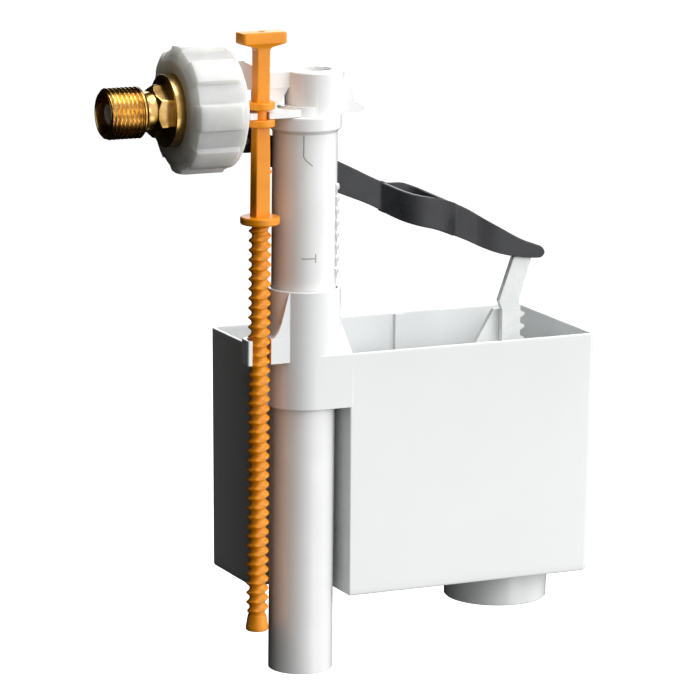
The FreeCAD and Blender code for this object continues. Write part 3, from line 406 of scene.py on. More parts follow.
# A closed line through corners, each swapped for a circular arc that meets both sides smoothly.
def rounded(corners, radii, steps=6):
    p = np.asarray(corners, float)
    radii = np.broadcast_to(np.asarray(radii, float), len(p))[:, None].copy() + 1e-4
    back, ahead = np.roll(p, 1, 0) - p, np.roll(p, -1, 0) - p
    back /= np.linalg.norm(back, axis=1, keepdims=True)
    ahead /= np.linalg.norm(ahead, axis=1, keepdims=True)
    half = np.arccos(np.clip((back * ahead).sum(1, keepdims=True), -1, 1)) / 2
    middleWay = back + ahead
    middleWay /= np.linalg.norm(middleWay, axis=1, keepdims=True)
    centre = p + middleWay * radii / np.sin(half)
    start, end = p + back * radii / np.tan(half) - centre, p + ahead * radii / np.tan(half) - centre
    sweep = (math.pi - 2 * half)[:, None, :]
    t = np.linspace(0, 1, steps)[None, :, None]
    arc = (np.sin((1 - t) * sweep) * start[:, None] + np.sin(t * sweep) * end[:, None]) / np.sin(sweep)
    return (centre[:, None] + arc).reshape(-1, 2)


# Rings with as many points each, joined in order; the end rings are filled, or joined if looped.
def stacked(rows, looped=False):
    count, across = rows.shape[:2]
    faces = quadsOf(count, across, looped, True)
    if not looped:
        faces += [list(range(across)), list(range((count - 1) * across, count * across))]
    return rows, faces


# (along, radius) rows turned about an axis; ripple(along, angle, radius) may reshape the radius.
def turned(profile, centre, axis, count=96, ripple=None):
    profile = np.asarray(profile, float)
    along, radius = np.broadcast_arrays(profile[:, :1], np.zeros((len(profile), count)))[0], profile[:, 1:2]
    angle = np.arange(count)[None, :] * 2 * math.pi / count
    radius = np.broadcast_to(radius, along.shape)
    if ripple is not None:
        radius = ripple(along, np.broadcast_to(angle, along.shape), radius)
    a, b = radius * np.cos(angle), radius * np.sin(angle)
    order = {"x": (along, a, b), "y": (b, along, a), "z": (a, b, along)}[axis]
    return stacked(np.stack(order, axis=-1) + np.asarray(centre, float), looped=True)


# The outline with every point moved inwards along its own normal; it runs anticlockwise.
def outlineAt(outline, inset):
    step = np.roll(outline, -1, 0) - np.roll(outline, 1, 0)
    length = np.maximum(np.linalg.norm(step, axis=1, keepdims=True), 1e-9)
    return outline + inset * np.stack([-step[:, 1], step[:, 0]], axis=1) / length


# A plate of one outline, thick from start to end, whose two rims are quarter rounds.
def slab(outline, start, end, edge, plane):
    turnAngle = np.linspace(0, math.pi / 2, 4)
    area = np.sum(outline[:, 0] * np.roll(outline[:, 1], -1) - np.roll(outline[:, 0], -1) * outline[:, 1])
    outline = outline if area > 0 else outline[::-1]
    inset = np.concatenate([edge * (1 - np.sin(turnAngle)), edge * (1 - np.sin(turnAngle[::-1]))])
    height = np.concatenate([start + edge * (1 - np.cos(turnAngle)),
                             end - edge * (1 - np.cos(turnAngle[::-1]))])
    rings = np.stack([outlineAt(outline, i) for i in inset])
    deep = np.broadcast_to(height[:, None], rings.shape[:2])
    order = {"xy": (rings[..., 0], rings[..., 1], deep), "xz": (rings[..., 0], deep, rings[..., 1])}[plane]
    return stacked(np.stack(order, axis=-1))


# A box with rounded corners in plan and rounded rims at its two ends.
def block(x, y, z, edge):
    outline = rounded([(x[0], y[0]), (x[1], y[0]), (x[1], y[1]), (x[0], y[1])], edge)
    return slab(outline, z[0], z[1], edge, "xy")


# A finished shell turned about an upright axis.
def turnedPart(part, degrees, centre):
    points = np.asarray(part[0], float) - np.asarray(centre, float)
    c, s = math.cos(math.radians(degrees)), math.sin(math.radians(degrees))
    spun = np.stack([c * points[..., 0] - s * points[..., 1], s * points[..., 0] + c * points[..., 1],
                     points[..., 2]], axis=-1)
    return spun + np.asarray(centre, float), part[1]


# A merged copy of a CAD node whose sharp edges get the small radius every moulding has.
def softCopy(name, node, edgeMm, angle=38):
    mesh = frame["nodes"][node].data.copy()
    mesh.name = name
    tidy = bmesh.new()
    tidy.from_mesh(mesh)
    bmesh.ops.remove_doubles(tidy, verts=tidy.verts, dist=1e-6)
    bmesh.ops.dissolve_limit(tidy, angle_limit=math.radians(1.0), verts=tidy.verts, edges=tidy.edges)
    tidy.to_mesh(mesh)
    tidy.free()
    piece = placed(name, mesh)
    bevel = piece.modifiers.new("mouldedEdges", "BEVEL")
    bevel.width, bevel.segments = edgeMm * mm, 2
    bevel.limit_method, bevel.angle_limit = "ANGLE", math.radians(angle)
    bevel.use_clamp_overlap = True
    piece.modifiers.move(1, 0)
    return piece


def cornerOf(node, which):
    return np.array(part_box(node)[which]) / mm


connector = {"majorR": 10.4775, "pitch": 1.814, "depth": 1.162, "threadLength": 14.6,
             "neckR": 8.15, "neckEnd": 5.8, "hexFlats": 19.0, "hexEnd": 11.2, "collarR": 14.7,
             "boreR": 7.96, "innerBoreR": 6.0, "flangeR": 20.6, "edge": 0.35}


# A 55 degree thread: the radius falls by a flattened triangle wave that climbs one pitch a turn.
def threadRipple(along, angle, radius):
    c = connector
    phase = (along / c["pitch"] - angle / (2 * math.pi)) % 1.0
    wave = np.clip((np.abs(2 * phase - 1) - 0.14) / 0.72, 0, 1)
    inside = np.clip((along + c["threadLength"]) / 0.6, 0, 1) * np.clip((0.4 - along) / 1.6, 0, 1)
    onThread = (radius > c["majorR"] - 1e-3) & (along < 0.6)
    cone = c["majorR"] - c["depth"] - 0.1 + (along + c["threadLength"]) * 1.05
    return np.where(onThread, np.minimum(radius - c["depth"] * wave * inside, cone), radius)


def brassConnector():
    c = connector
    end = -c["threadLength"]
    threadRows = [(x, c["majorR"]) for x in np.linspace(end + 0.02, 0.4, 190)]
    stub = [(8.0, c["innerBoreR"]), (-3.0, c["innerBoreR"]), (-3.0, c["boreR"]), (end + 1.0, c["boreR"]),
            (end + 0.25, c["boreR"] + 0.08), (end, c["boreR"] + 0.4),
            (end, c["majorR"] - c["depth"] - 0.3)] + threadRows
    stub += [(0.9, c["majorR"] - 0.5), (1.7, c["neckR"] + 0.35), (2.2, c["neckR"]), (3.6, c["neckR"]),
             (c["neckEnd"] - 0.5, c["neckR"]), (c["neckEnd"] + 0.3, c["neckR"] + 0.5), (8.0, c["neckR"])]
    flats = c["hexFlats"] / 2
    front = [(c["neckEnd"], c["neckR"] - 1), (c["neckEnd"], flats - 0.2)]
    chamfer = [(c["neckEnd"] + s, 20.0) for s in (0.02, 0.3, 0.6, 0.9, 1.2, 1.6, 3.0, 5.0)]
    back = [(c["hexEnd"] + 0.1, 20.0), (c["hexEnd"] + 0.1, c["neckR"] - 1)]

    # Six flats: the radius is the distance to the nearest flat's plane, cut by a chamfer cone.
    def hexRipple(along, angle, radius):
        swing = (angle + math.pi / 6) % (math.pi / 3) - math.pi / 6
        flat = np.minimum(flats / np.cos(swing), flats / math.cos(math.pi / 6) - 0.12)
        cone = flats + 0.1 + (along - c["neckEnd"]) * 0.95
        return np.where(radius > 19, np.minimum(flat, cone), radius)

    collar = rounded([(c["hexEnd"], 5.0), (c["hexEnd"], c["collarR"]), (19.8, c["collarR"]), (19.8, 5.0)],
                     [0.1, 0.5, 0.3, 0.1], 5)
    flange = rounded([(19.8, 6.0), (19.8, c["flangeR"]), (22.6, c["flangeR"]), (22.6, 6.0)], 0.2, 3)
    parts = [turned(stub, (0, 0, 0), "x", 160, threadRipple),
             turned(front + chamfer + back, (0, 0, 0), "x", 144, hexRipple),
             turned(collar, (0, 0, 0), "x", 128), turned(flange, (0, 0, 0), "x", 64)]
    standFor(pieceFrom("brassConnector", parts, finishes["brass"]), "brass_inlet_connector")


brassConnector()

unionNut = {"front": 15.0, "length": 23.8, "grooveR": 24.6, "lobeR": 26.2, "frontR": 20.8,
            "mouthR": 15.05, "boreR": 21.5, "lip": 4.5, "lobes": 8, "lobeDegrees": 25.0, "flank": 2.2}


def unionNutPiece():
    u = unionNut
    x0, x1 = u["front"], u["front"] + u["length"]
    outline = [(x0 + u["lip"], u["boreR"]), (x0 + u["lip"], u["mouthR"]), (x0 + 0.6, u["mouthR"]),
               (x0 + 0.1, u["mouthR"] + 0.5), (x0, u["mouthR"] + 1.0), (x0, u["frontR"] - 1.2),
               (x0 + 0.12, u["frontR"] - 0.4), (x0 + 0.5, u["frontR"] + 0.3)]
    slope = np.linspace(0, 1, 14)
    outline += list(zip(x0 + 0.5 + slope * 1.9, u["frontR"] + 0.3 + slope * (u["grooveR"] - u["frontR"] - 0.3)))
    outline += [(x, u["grooveR"]) for x in np.linspace(x0 + 2.5, x1 - 1.1, 60)]
    outline += [(x1 - 0.6, u["grooveR"] - 0.12), (x1 - 0.2, u["grooveR"] - 0.5), (x1, u["grooveR"] - 1.1),
                (x1, u["boreR"] + 0.6), (x1 - 0.5, u["boreR"] + 0.1), (x1 - 1.0, u["boreR"])]

    # Eight raised grips: each rises with a smooth step on both flanks and at both ends.
    def grips(along, angle, radius):
        turnShare = ((np.degrees(angle) - 90) * u["lobes"] / 360 + 0.5) % 1.0 - 0.5
        away = np.abs(turnShare) * 360 / u["lobes"]
        flank = np.clip((u["lobeDegrees"] / 2 + u["flank"] / 2 - away) / u["flank"], 0, 1)
        start = np.clip((along - x0 - 0.7) / 4.4, 0, 1)
        finish = np.clip((x1 - 2.6 - along) / 0.9, 0, 1)
        ends = np.minimum(start, finish)
        rise = flank * flank * (3 - 2 * flank) * np.sqrt(np.clip(ends * (2 - ends), 0, 1))
        # the far end has a lower step behind each grip
        step = flank * 0.45 * np.clip((x1 - 1.5 - along) / 0.4, 0, 1) * np.clip((along - x0 - 1.0) / 2, 0, 1)
        height = np.maximum(rise * (u["lobeR"] - u["grooveR"]), step)
        return np.where(radius > u["frontR"], radius + height, radius)

    parts = [turned(outline, (0, 0, 0), "x", 288, grips)]
    for index in range(5):
        x = 27.85 + index * 2.5
        ridge = [(x - 0.6, 21.6), (x - 0.3, 20.55), (x + 0.3, 20.55), (x + 0.6, 21.6)]
        parts.append(turned(ridge, (0, 0, 0), "x", 96))
    standFor(pieceFrom("unionNut", parts, finishes["nut_plastic"]), "union_nut")


unionNutPiece()

screw = {"barLength": 19.6, "barWidth": 8.6, "barHeight": 4.7, "shaft": 5.8, "lowerShaft": 6.3,
         "collarR": 5.8, "collarHeight": 3.0, "neckTop": -0.2, "neckHeight": 4.1, "neckR": 2.6,
         "flangeR": 8.1, "flangeZ": -47.4, "flangeHeight": 3.2, "pitch": 4.0, "turns": 41,
         "rootR": 3.25, "crestR": 4.6, "flat": 3.8, "endR": 4.7, "endHeight": 6.8}


def squareRing(halfX, halfY, corner, z, centre):
    flat = rounded([(-halfX, -halfY), (halfX, -halfY), (halfX, halfY), (-halfX, halfY)], corner, 6)
    return np.column_stack([flat + centre[:2], np.full(len(flat), z)])


def adjustingScrew():
    s = screw
    low, high = cornerOf("adjusting_screw", 0), cornerOf("adjusting_screw", 1)
    centre = (low + high) / 2 * (1, 1, 0)
    top = high[2]
    barLow = top - s["barHeight"]
    halfX, halfY, halfShaft = s["barLength"] / 2, s["barWidth"] / 2, s["shaft"] / 2
    bar = [squareRing(1.3, 1.3, 1.2, top - 2.0, centre), squareRing(1.3, 1.3, 1.25, top - 0.15, centre),
           squareRing(1.5, 1.5, 1.3, top, centre), squareRing(halfX - 0.6, halfY - 0.6, 1.1, top, centre),
           squareRing(halfX - 0.18, halfY - 0.18, 1.3, top - 0.18, centre),
           squareRing(halfX, halfY, 1.4, top - 0.6, centre), squareRing(halfX, halfY, 1.4, barLow + 0.4, centre),
           squareRing(halfX - 0.15, halfY - 0.15, 1.3, barLow + 0.1, centre),
           squareRing(halfX - 0.6, halfY - 0.4, 1.2, barLow - 0.1, centre),
           squareRing(halfShaft + 0.9, halfShaft + 0.3, 0.8, barLow - 1.5, centre),
           squareRing(halfShaft + 0.2, halfShaft + 0.1, 0.7, barLow - 2.2, centre),
           squareRing(halfShaft, halfShaft, 0.6, barLow - 3.2, centre),
           squareRing(halfShaft - 0.05, halfShaft - 0.05, 0.6, s["neckTop"] + 1.0, centre)]
    lowerTop = s["neckTop"] - s["neckHeight"]
    half = s["lowerShaft"] / 2
    shaft = [squareRing(half - 0.25, half - 0.25, 0.6, lowerTop - 1.0, centre),
             squareRing(half, half, 0.6, lowerTop - 14.0, centre),
             squareRing(half + 0.1, half + 0.1, 0.6, s["flangeZ"] + 0.5, centre)]
    parts = [stacked(np.stack(bar)), stacked(np.stack(shaft))]
    for z0, z1 in ((s["neckTop"], s["neckTop"] + s["collarHeight"]), (lowerTop - s["collarHeight"], lowerTop)):
        parts.append(turned(rounded([(z0, 0), (z0, s["collarR"]), (z1, s["collarR"]), (z1, 0)],
                                    [0, 0.5, 0.5, 0], 5), centre, "z", 64))
    z0, z1 = s["flangeZ"], s["flangeZ"] + s["flangeHeight"]
    parts.append(turned(rounded([(z0, 0), (z0, s["flangeR"]), (z1, s["flangeR"]), (z1, 0)],
                                [0, 0.7, 0.7, 0], 6), centre, "z", 72))
    parts.append(turned([(lowerTop - 0.6, 0), (lowerTop - 0.6, s["neckR"]), (s["neckTop"] + 0.6, s["neckR"]),
                         (s["neckTop"] + 0.6, 0)], centre, "z", 48))
    threadLow = s["flangeZ"] - s["pitch"] * s["turns"]
    flatTurn = math.pi / 2  # the mould's two halves leave a flat at the front and one at the back

    # One right-handed ridge: a raised cosine of height, one pitch a turn, that fades at both ends.
    def ridge(along, angle, radius):
        wave = 0.5 + 0.5 * np.cos(2 * math.pi * (along / s["pitch"] - angle / (2 * math.pi)))
        fade = np.clip((along - threadLow + 0.5) / 2.5, 0, 1) * np.clip((z0 - 0.2 - along) / 2.5, 0, 1)
        height = s["rootR"] + (s["crestR"] - s["rootR"]) * wave ** 1.5 * fade
        flats = s["flat"] / np.maximum(np.abs(np.cos(angle + flatTurn)), 1e-3)
        return np.where(radius > 3, np.minimum(height, flats), radius)

    rows = [(threadLow - 1.0, 0.0)] + [(z, 4.0) for z in np.linspace(threadLow - 1.0, z0 + 0.3, 760)]
    parts.append(turned(rows + [(z0 + 0.3, 0.0)], centre, "z", 44, ridge))
    zEnd = threadLow - s["endHeight"]
    parts.append(turned(rounded([(zEnd, 0), (zEnd, s["endR"]), (zEnd + 1.6, s["endR"]),
                                 (threadLow, s["endR"] - 0.9), (threadLow + 0.4, 0)],
                                [0, 0.7, 0.8, 0.5, 0], 5), centre, "z", 64))
    # the small snap barb on the lower shaft
    barb = rounded([(half - 1.0, -25.2), (half - 1.0, -29.0), (5.2, -25.9), (4.6, -25.4)], 0.15, 3)
    shell, faces = slab(barb + (centre[0], 0), -0.8 + centre[1], 0.8 + centre[1], 0.15, "xz")
    parts.append((shell, faces))
    standFor(pieceFrom("adjustingScrew", parts, finishes["orange_plastic"]), "adjusting_screw")


adjustingScrew()

tub = {"width": 145.6, "depth": 72.6, "height": 103.5, "wall": 1.6, "draft": 0.9, "corner": 2.5,
       "bossDrop": 16.0, "bossR": 22.0, "bossWall": 2.0, "drainR": 13.0, "bossFromRight": 26.9,
       "bossY": 21.0, "collarR": 15.6, "sleeveR": 13.75, "collarDrop": 49.4, "bayGap": 14.4,
       "clipTop": -95.2, "clipHeight": 10.5, "clipWall": 1.9, "threadClear": 4.95, "mouth": 4.2,
       "ribFromLeft": 87.2, "grooveAngle": -35.0, "grooveHalf": 11.5, "grooveR": 14.55}
columnAxis = np.array([m["pos_m"] for m in frame["record"]["mounts"] if m["name"] == "outlet_column"][0]) / mm


# Every side of a polygon moved inwards by one distance; the corners run anticlockwise.
def insetCorners(corners, inset):
    p = np.asarray(corners, float)
    side = np.roll(p, -1, 0) - p
    side /= np.linalg.norm(side, axis=1, keepdims=True)
    normal = np.stack([-side[:, 1], side[:, 0]], axis=1)
    before = np.roll(normal, 1, 0)
    return p + inset * (normal + before) / (1 + (normal * before).sum(1, keepdims=True))


def bucketPiece():
    t = tub
    low, high = cornerOf("bucket", 0), cornerOf("bucket", 1)
    right, collarTop, bottom = high[0], high[2], low[2] + t["bossDrop"]
    back = high[1]
    left, front, top = right - t["width"], back - t["depth"], bottom + t["height"]
    bayX, bayY = columnAxis[0] + t["bayGap"], columnAxis[1] + t["bayGap"]
    plan = [(bayX, front), (right, front), (right, back), (left, back), (left, bayY), (bayX, bayY)]
    radii = np.array([0.8, t["corner"], t["corner"], t["corner"], 0.8, 1.0])
    outwards = np.array([1, 1, 1, 1, 1, -1])

    def ring(inset, z):
        taper = t["draft"] * (top - z) / t["height"]
        bends = rounded(insetCorners(plan, inset + taper), np.maximum(radii - outwards * inset, 0.3), 7)
        bends = bends.reshape(len(plan), 7, 2)
        share = np.linspace(0, 1, 42)[None, 1:-1, None]
        sides = bends[:, -1:] + (np.roll(bends[:, :1], -1, 0) - bends[:, -1:]) * share
        line = np.concatenate([bends, sides], axis=1).reshape(-1, 2)
        return np.column_stack([line, np.full(len(line), z)])

    bossX = right - t["bossFromRight"]
    edge = ring(2.0, bottom)
    bearing = np.arctan2(edge[:, 1] - t["bossY"], edge[:, 0] - bossX)

    def circle(radius, z):
        return np.column_stack([bossX + radius * np.cos(bearing), t["bossY"] + radius * np.sin(bearing),
                                np.full(len(bearing), z)])

    w = t["wall"]
    rings = [ring(1.2, bottom), ring(0.35, bottom + 0.35), ring(0.0, bottom + 1.2)]
    rings += [ring(0.0, z) for z in np.linspace(bottom + 4, top - 1.2, 8)]
    rings += [ring(0.0, top - 0.5), ring(0.15, top - 0.15), ring(0.5, top), ring(w - 0.5, top),
              ring(w - 0.15, top - 0.15), ring(w, top - 0.5)]
    rings += [ring(w, z) for z in np.linspace(top - 1.2, bottom + 4, 8)]
    rings += [ring(w, bottom + w + 1.2), ring(w + 0.35, bottom + w + 0.35), ring(w + 1.2, bottom + w)]
    rings += [circle(t["drainR"] + 0.3, bottom + w), circle(t["drainR"], bottom + w - 0.3),
              circle(t["drainR"], bottom + 0.3), circle(t["drainR"] + 0.3, bottom)]
    inner, drop = t["bossR"] - t["bossWall"], bottom - t["bossDrop"]
    rings += [circle(inner - 0.4, bottom), circle(inner, bottom - 0.4), circle(inner, drop + 0.3),
              circle(inner + 0.3, drop), circle(t["bossR"] - 0.4, drop), circle(t["bossR"], drop + 0.4)]
    flare = np.linspace(0, 1, 7)
    for share in flare:
        rings.append(circle(t["bossR"] + 1.8 * share ** 3, drop + 0.4 + (t["bossDrop"] - 0.4) * share))
    parts = [stacked(np.stack(rings), looped=True)]

    # the sleeve that slides on the column, its flat web and its side web
    collarLow = collarTop - t["collarDrop"]
    sleeve = rounded([(collarLow, t["sleeveR"]), (collarLow, t["collarR"]), (collarTop, t["collarR"]),
                      (collarTop, t["sleeveR"])], [0.2, 0.35, 0.45, 0.3], 5)

    # inside the sleeve a groove lets the column's toothed rib pass
    def ribGroove(along, angle, radius):
        away = np.abs((np.degrees(angle) - t["grooveAngle"] + 180) % 360 - 180)
        return np.where((away < t["grooveHalf"]) & (radius < 14.3), t["grooveR"], radius)

    parts.append(turned(sleeve, (columnAxis[0], columnAxis[1], 0), "z", 160, ribGroove))
    parts.append(block((columnAxis[0], bayX + w - 0.2), (front, front + w), (collarLow, top), 0.25))
    parts.append(block((left, left + w), (0, bayY + w), (collarLow, top), 0.25))
    # the fairing leans back from the band's top edge and dies out along the sleeve
    share = np.linspace(0, 1, 16)
    fairY = front + 0.2 + share * (-2.5 - front)
    fairZ = top - 1.0 + share * 12.0
    sleeveMiddle = (t["sleeveR"] + t["collarR"]) / 2
    fairing = []
    for offset, drop in ((0.0, 0.0), (1.3, -0.9)):
        leftEdge = columnAxis[0] + np.sqrt(np.maximum(sleeveMiddle ** 2 - (fairY + offset) ** 2, 0.0))
        rightEdge = np.full_like(leftEdge, bayX + w - 0.1)
        pair = [np.stack([edge, fairY + offset, fairZ + drop], 1) for edge in (leftEdge, rightEdge)]
        fairing += pair if offset == 0 else pair[::-1]
    parts.append(stacked(np.stack(fairing, axis=1)))
    ribX = left + t["ribFromLeft"]
    parts.append(block((ribX - 2, ribX + 2), (back - w - 1.6, back - w + 0.4), (bottom + 1, top - 0.5), 0.3))

    # the clip round the screw: a plate whose outline runs into the screw's bore, and its gusset
    screwLow, screwHigh = cornerOf("adjusting_screw", 0), cornerOf("adjusting_screw", 1)
    sx, sy = (screwLow + screwHigh)[:2] / 2
    clipLow = t["clipTop"] - t["clipHeight"]
    leftX, frontY = sx - t["mouth"] - t["clipWall"], sy - 3.0
    backY = sy + t["threadClear"] - 0.35 + 2.4
    mouthTurn = math.asin(2.7 / t["threadClear"])
    around = np.linspace(-mouthTurn, math.pi + mouthTurn, 40)
    bore = np.stack([sx + t["threadClear"] * np.cos(around), sy + t["threadClear"] * np.sin(around)], 1)
    outer = [(sx - t["mouth"], frontY), (leftX + 0.4, frontY), (leftX, frontY + 0.4), (leftX, frontY + 6.6),
             (leftX + 3.2, backY)]
    hugY = np.linspace(backY + 4.0, frontY, 14)  # this side follows the sleeve's wall
    hug = np.stack([columnAxis[0] - np.sqrt(sleeveMiddle ** 2 - hugY ** 2), hugY], 1)
    clipOutline = np.concatenate([np.array(outer), hug, [(sx + t["mouth"], frontY)], bore])
    parts.append(slab(clipOutline, clipLow, t["clipTop"], 0.2, "xy"))
    innerX = sx + t["mouth"]
    curve = np.array([(0, 0), (1.5, 0.6), (3.1, 2.8), (4.4, 6.0), (5.7, 10.8), (6.9, 15.6), (7.8, 18.5)])
    gusset = np.concatenate([[(innerX, clipLow)], curve + (innerX, t["clipTop"]),
                             [(columnAxis[0] - 10.3, t["clipTop"] + 18.5), (columnAxis[0] - 10.3, clipLow)]])
    parts.append(slab(gusset, frontY + 0.06, frontY + 1.8, 0.25, "xz"))

    flapLow, flapHigh = cornerOf("drain_flap_pin", 0), cornerOf("drain_flap_pin", 1)
    hingeX, hingeZ = (flapLow[0] + flapHigh[0]) / 2, (flapLow[2] + flapHigh[2]) / 2
    for y in (t["bossY"] - 5.6, t["bossY"] + 3.6):
        parts.append(block((hingeX - 3.2, hingeX + 2.0), (y, y + 2.0), (hingeZ - 2.2, bottom + 0.5), 0.25))
    standFor(pieceFrom("bucketWithClip", parts, finishes["bucket_plastic"]), "bucket")


bucketPiece()

column = {"r": 13.4, "boreR": 11.2, "ringR": 15.0, "ringHeight": 5.4, "rackTop": -33.0, "rackPitch": 5.0,
          "rackTeeth": 8, "rackWidth": 4.0, "rackHeight": 0.9, "rackAngle": -35.0, "paintedLineWidth": 0.45}


# A thin strip that follows (angle, z) points on a cylinder: its section is a flat bar. It carries a painted grey
# line.
def paintedLineStrip(path, radius, width, axis):
    p = np.asarray(path, float)
    order = np.arange(len(p))
    fine = np.linspace(0, len(p) - 1, 60)
    p = np.stack([np.interp(fine, order, p[:, 0]), np.interp(fine, order, p[:, 1])], 1)
    angle = np.radians(p[:, 0])
    step = np.gradient(np.stack([angle * radius, p[:, 1]], 1), axis=0)
    step /= np.linalg.norm(step, axis=1, keepdims=True)
    sideways = np.stack([-step[:, 1], step[:, 0]], 1) * width / 2
    rows = []
    for sign, depth in ((-1, -0.3), (-1, 0.03), (1, 0.03), (1, -0.3)):
        a = angle + sign * sideways[:, 0] / radius
        z = p[:, 1] + sign * sideways[:, 1]
        rows.append(np.stack([axis[0] + (radius + depth) * np.cos(a), axis[1] + (radius + depth) * np.sin(a), z], 1))
    return stacked(np.stack(rows, axis=1))


def columnPiece():
    k = column
    low, high = cornerOf("column_tube", 0), cornerOf("column_tube", 1)
    top, bottom = high[2], low[2]
    axis = (columnAxis[0], columnAxis[1], 0)
    profile = rounded([(bottom, k["boreR"]), (bottom, k["r"]), (top - k["ringHeight"] - 1.6, k["r"]),
                       (top - k["ringHeight"], k["ringR"]), (top, k["ringR"]), (top, k["boreR"])],
                      [0.2, 0.35, 0.6, 0.5, 0.35, 0.2], 5)
    parts = [turned(profile, axis, "z", 160)]
    rackLow = k["rackTop"] - k["rackPitch"] * k["rackTeeth"]
    for index in range(k["rackTeeth"]):
        z = k["rackTop"] - k["rackPitch"] * index
        tooth = rounded([(k["r"] - 1, z), (k["r"] + k["rackHeight"] * 0.6, z - 0.1),
                         (k["r"] + k["rackHeight"], z - 0.9), (k["r"] + k["rackHeight"], z - 2.2),
                         (k["r"] - 0.2, z - 3.6), (k["r"] - 1, z - 3.6)], 0.15, 3)
        shell = slab(tooth + (columnAxis[0], 0), -k["rackWidth"] / 2, k["rackWidth"] / 2, 0.15, "xz")
        parts.append(turnedPart(shell, k["rackAngle"], axis))
    rib = block((columnAxis[0] + k["r"] - 1.0, columnAxis[0] + k["r"] + 0.12),
                (-k["rackWidth"] / 2, k["rackWidth"] / 2), (rackLow, k["rackTop"]), 0.1)
    parts.append(turnedPart(rib, k["rackAngle"], axis))
    piece = pieceFrom("outletColumn", parts, finishes["white_plastic"])
    piece.data.materials.append(finishes["paintedGrooveShade"])
    standFor(piece, "column_tube")
    # the parting gap of the snap tongue and the water-level mark, as thin grey strips on the surface: painted shade
    # for the gap, and the same grey along the mark
    lines = [[(-114.4, -9.6), (-116.4, -11.2), (-116.4, -20.4), (-112.0, -21.9), (-100.5, -24.2)],
             [(-118.5, -62.5), (-105.0, -62.5), (-92.5, -62.5)],
             [(-93.5, -60.6), (-93.5, -62.4), (-93.5, -64.2)]]
    # these strips carry the painted shade of the gap
    strips = [paintedLineStrip(line, k["r"], k["paintedLineWidth"], axis) for line in lines]
    paintedGrooveShade = pieceFrom("columnGapShadeLines", strips, finishes["paintedGrooveShade"])
    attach(paintedGrooveShade, "valve")


finishes["paintedGrooveShade"] = mouldedPlastic("absShadowGap", dict(
    plasticDefaults, lighter="#A3A39D", darker="#969690", glossy=0.4, dull=0.5))  # painted shade: a grey that stands in for the shade inside the gap, not the plastic's colour
columnPiece()

# the far outlines are (x, z) points of the moulding's edge lines in the row frame
arm = {"plate": 2.6, "y": 17.5, "bow": 8.5, "bowStart": 117.0, "bowEnd": 152.0, "edge": 0.55,
       "top": [(50.0, -8.8), (74.0, -18.6), (98.4, -28.8), (115.0, -37.0), (127.0, -42.4), (141.0, -45.8),
               (155.0, -51.0), (170.0, -59.6), (183.6, -67.0), (191.6, -70.0), (195.0, -71.0)],
       "low": [(50.0, -21.8), (74.0, -32.0), (98.5, -42.1), (113.6, -48.4), (124.0, -54.0), (141.5, -59.5),
               (156.0, -65.2), (170.0, -71.4), (184.0, -74.6), (191.2, -75.2), (195.0, -75.2)],
       "farTop": [(110.0, -34.0), (119.0, -38.6), (132.0, -41.0), (145.3, -46.6), (160.0, -54.4)],
       "farLow": [(110.0, -46.6), (119.0, -51.4), (132.0, -56.0), (147.5, -61.8), (160.0, -67.2)],
       "forkStart": 173.0, "slotHalf": 1.8, "cheek": 1.5, "slotTop": -68.2, "slotX": (176.0, 189.6),
       "pivotRound": 5.0, "earSlot": (0.2, 3.8), "shortArm": 3.4, "shortTop": 2.5}


# a cubic through the points whose slope at each comes from its neighbours
def flowing(x, points):
    p = np.asarray(points, float)
    slope = np.gradient(p[:, 1], p[:, 0])
    k = np.clip(np.searchsorted(p[:, 0], x) - 1, 0, len(p) - 2)
    step = p[k + 1, 0] - p[k, 0]
    t = (x - p[k, 0]) / step
    return ((2 * t ** 3 - 3 * t ** 2 + 1) * p[k, 1] + (t ** 3 - 2 * t ** 2 + t) * step * slope[k]
            + (3 * t ** 2 - 2 * t ** 3) * p[k + 1, 1] + (t ** 3 - t ** 2) * step * slope[k + 1])


# a rounded upright section carried along a plan path; its thickness, top and bottom change on the way
def carried(x, y, half, top, low, edge):
    way = np.stack([np.gradient(x), np.gradient(y)], 1)
    way /= np.linalg.norm(way, axis=1, keepdims=True)
    bend = np.concatenate([np.linspace(q, q + 90, 5) for q in (0, 90, 180, 270)])
    signU = np.repeat([1.0, -1.0, -1.0, 1.0], 5)
    signV = np.repeat([1.0, 1.0, -1.0, -1.0], 5)
    half, tall = np.broadcast_to(half, x.shape)[:, None], ((top - low) / 2)[:, None]
    r = np.minimum(np.minimum(half, tall) * 0.95, edge)
    u = (half - r) * signU + r * np.cos(np.radians(bend))
    v = (tall - r) * signV + r * np.sin(np.radians(bend))
    return stacked(np.stack([x[:, None] - way[:, 1:] * u, y[:, None] + way[:, :1] * u,
                             (top + low)[:, None] / 2 + v], axis=-1))


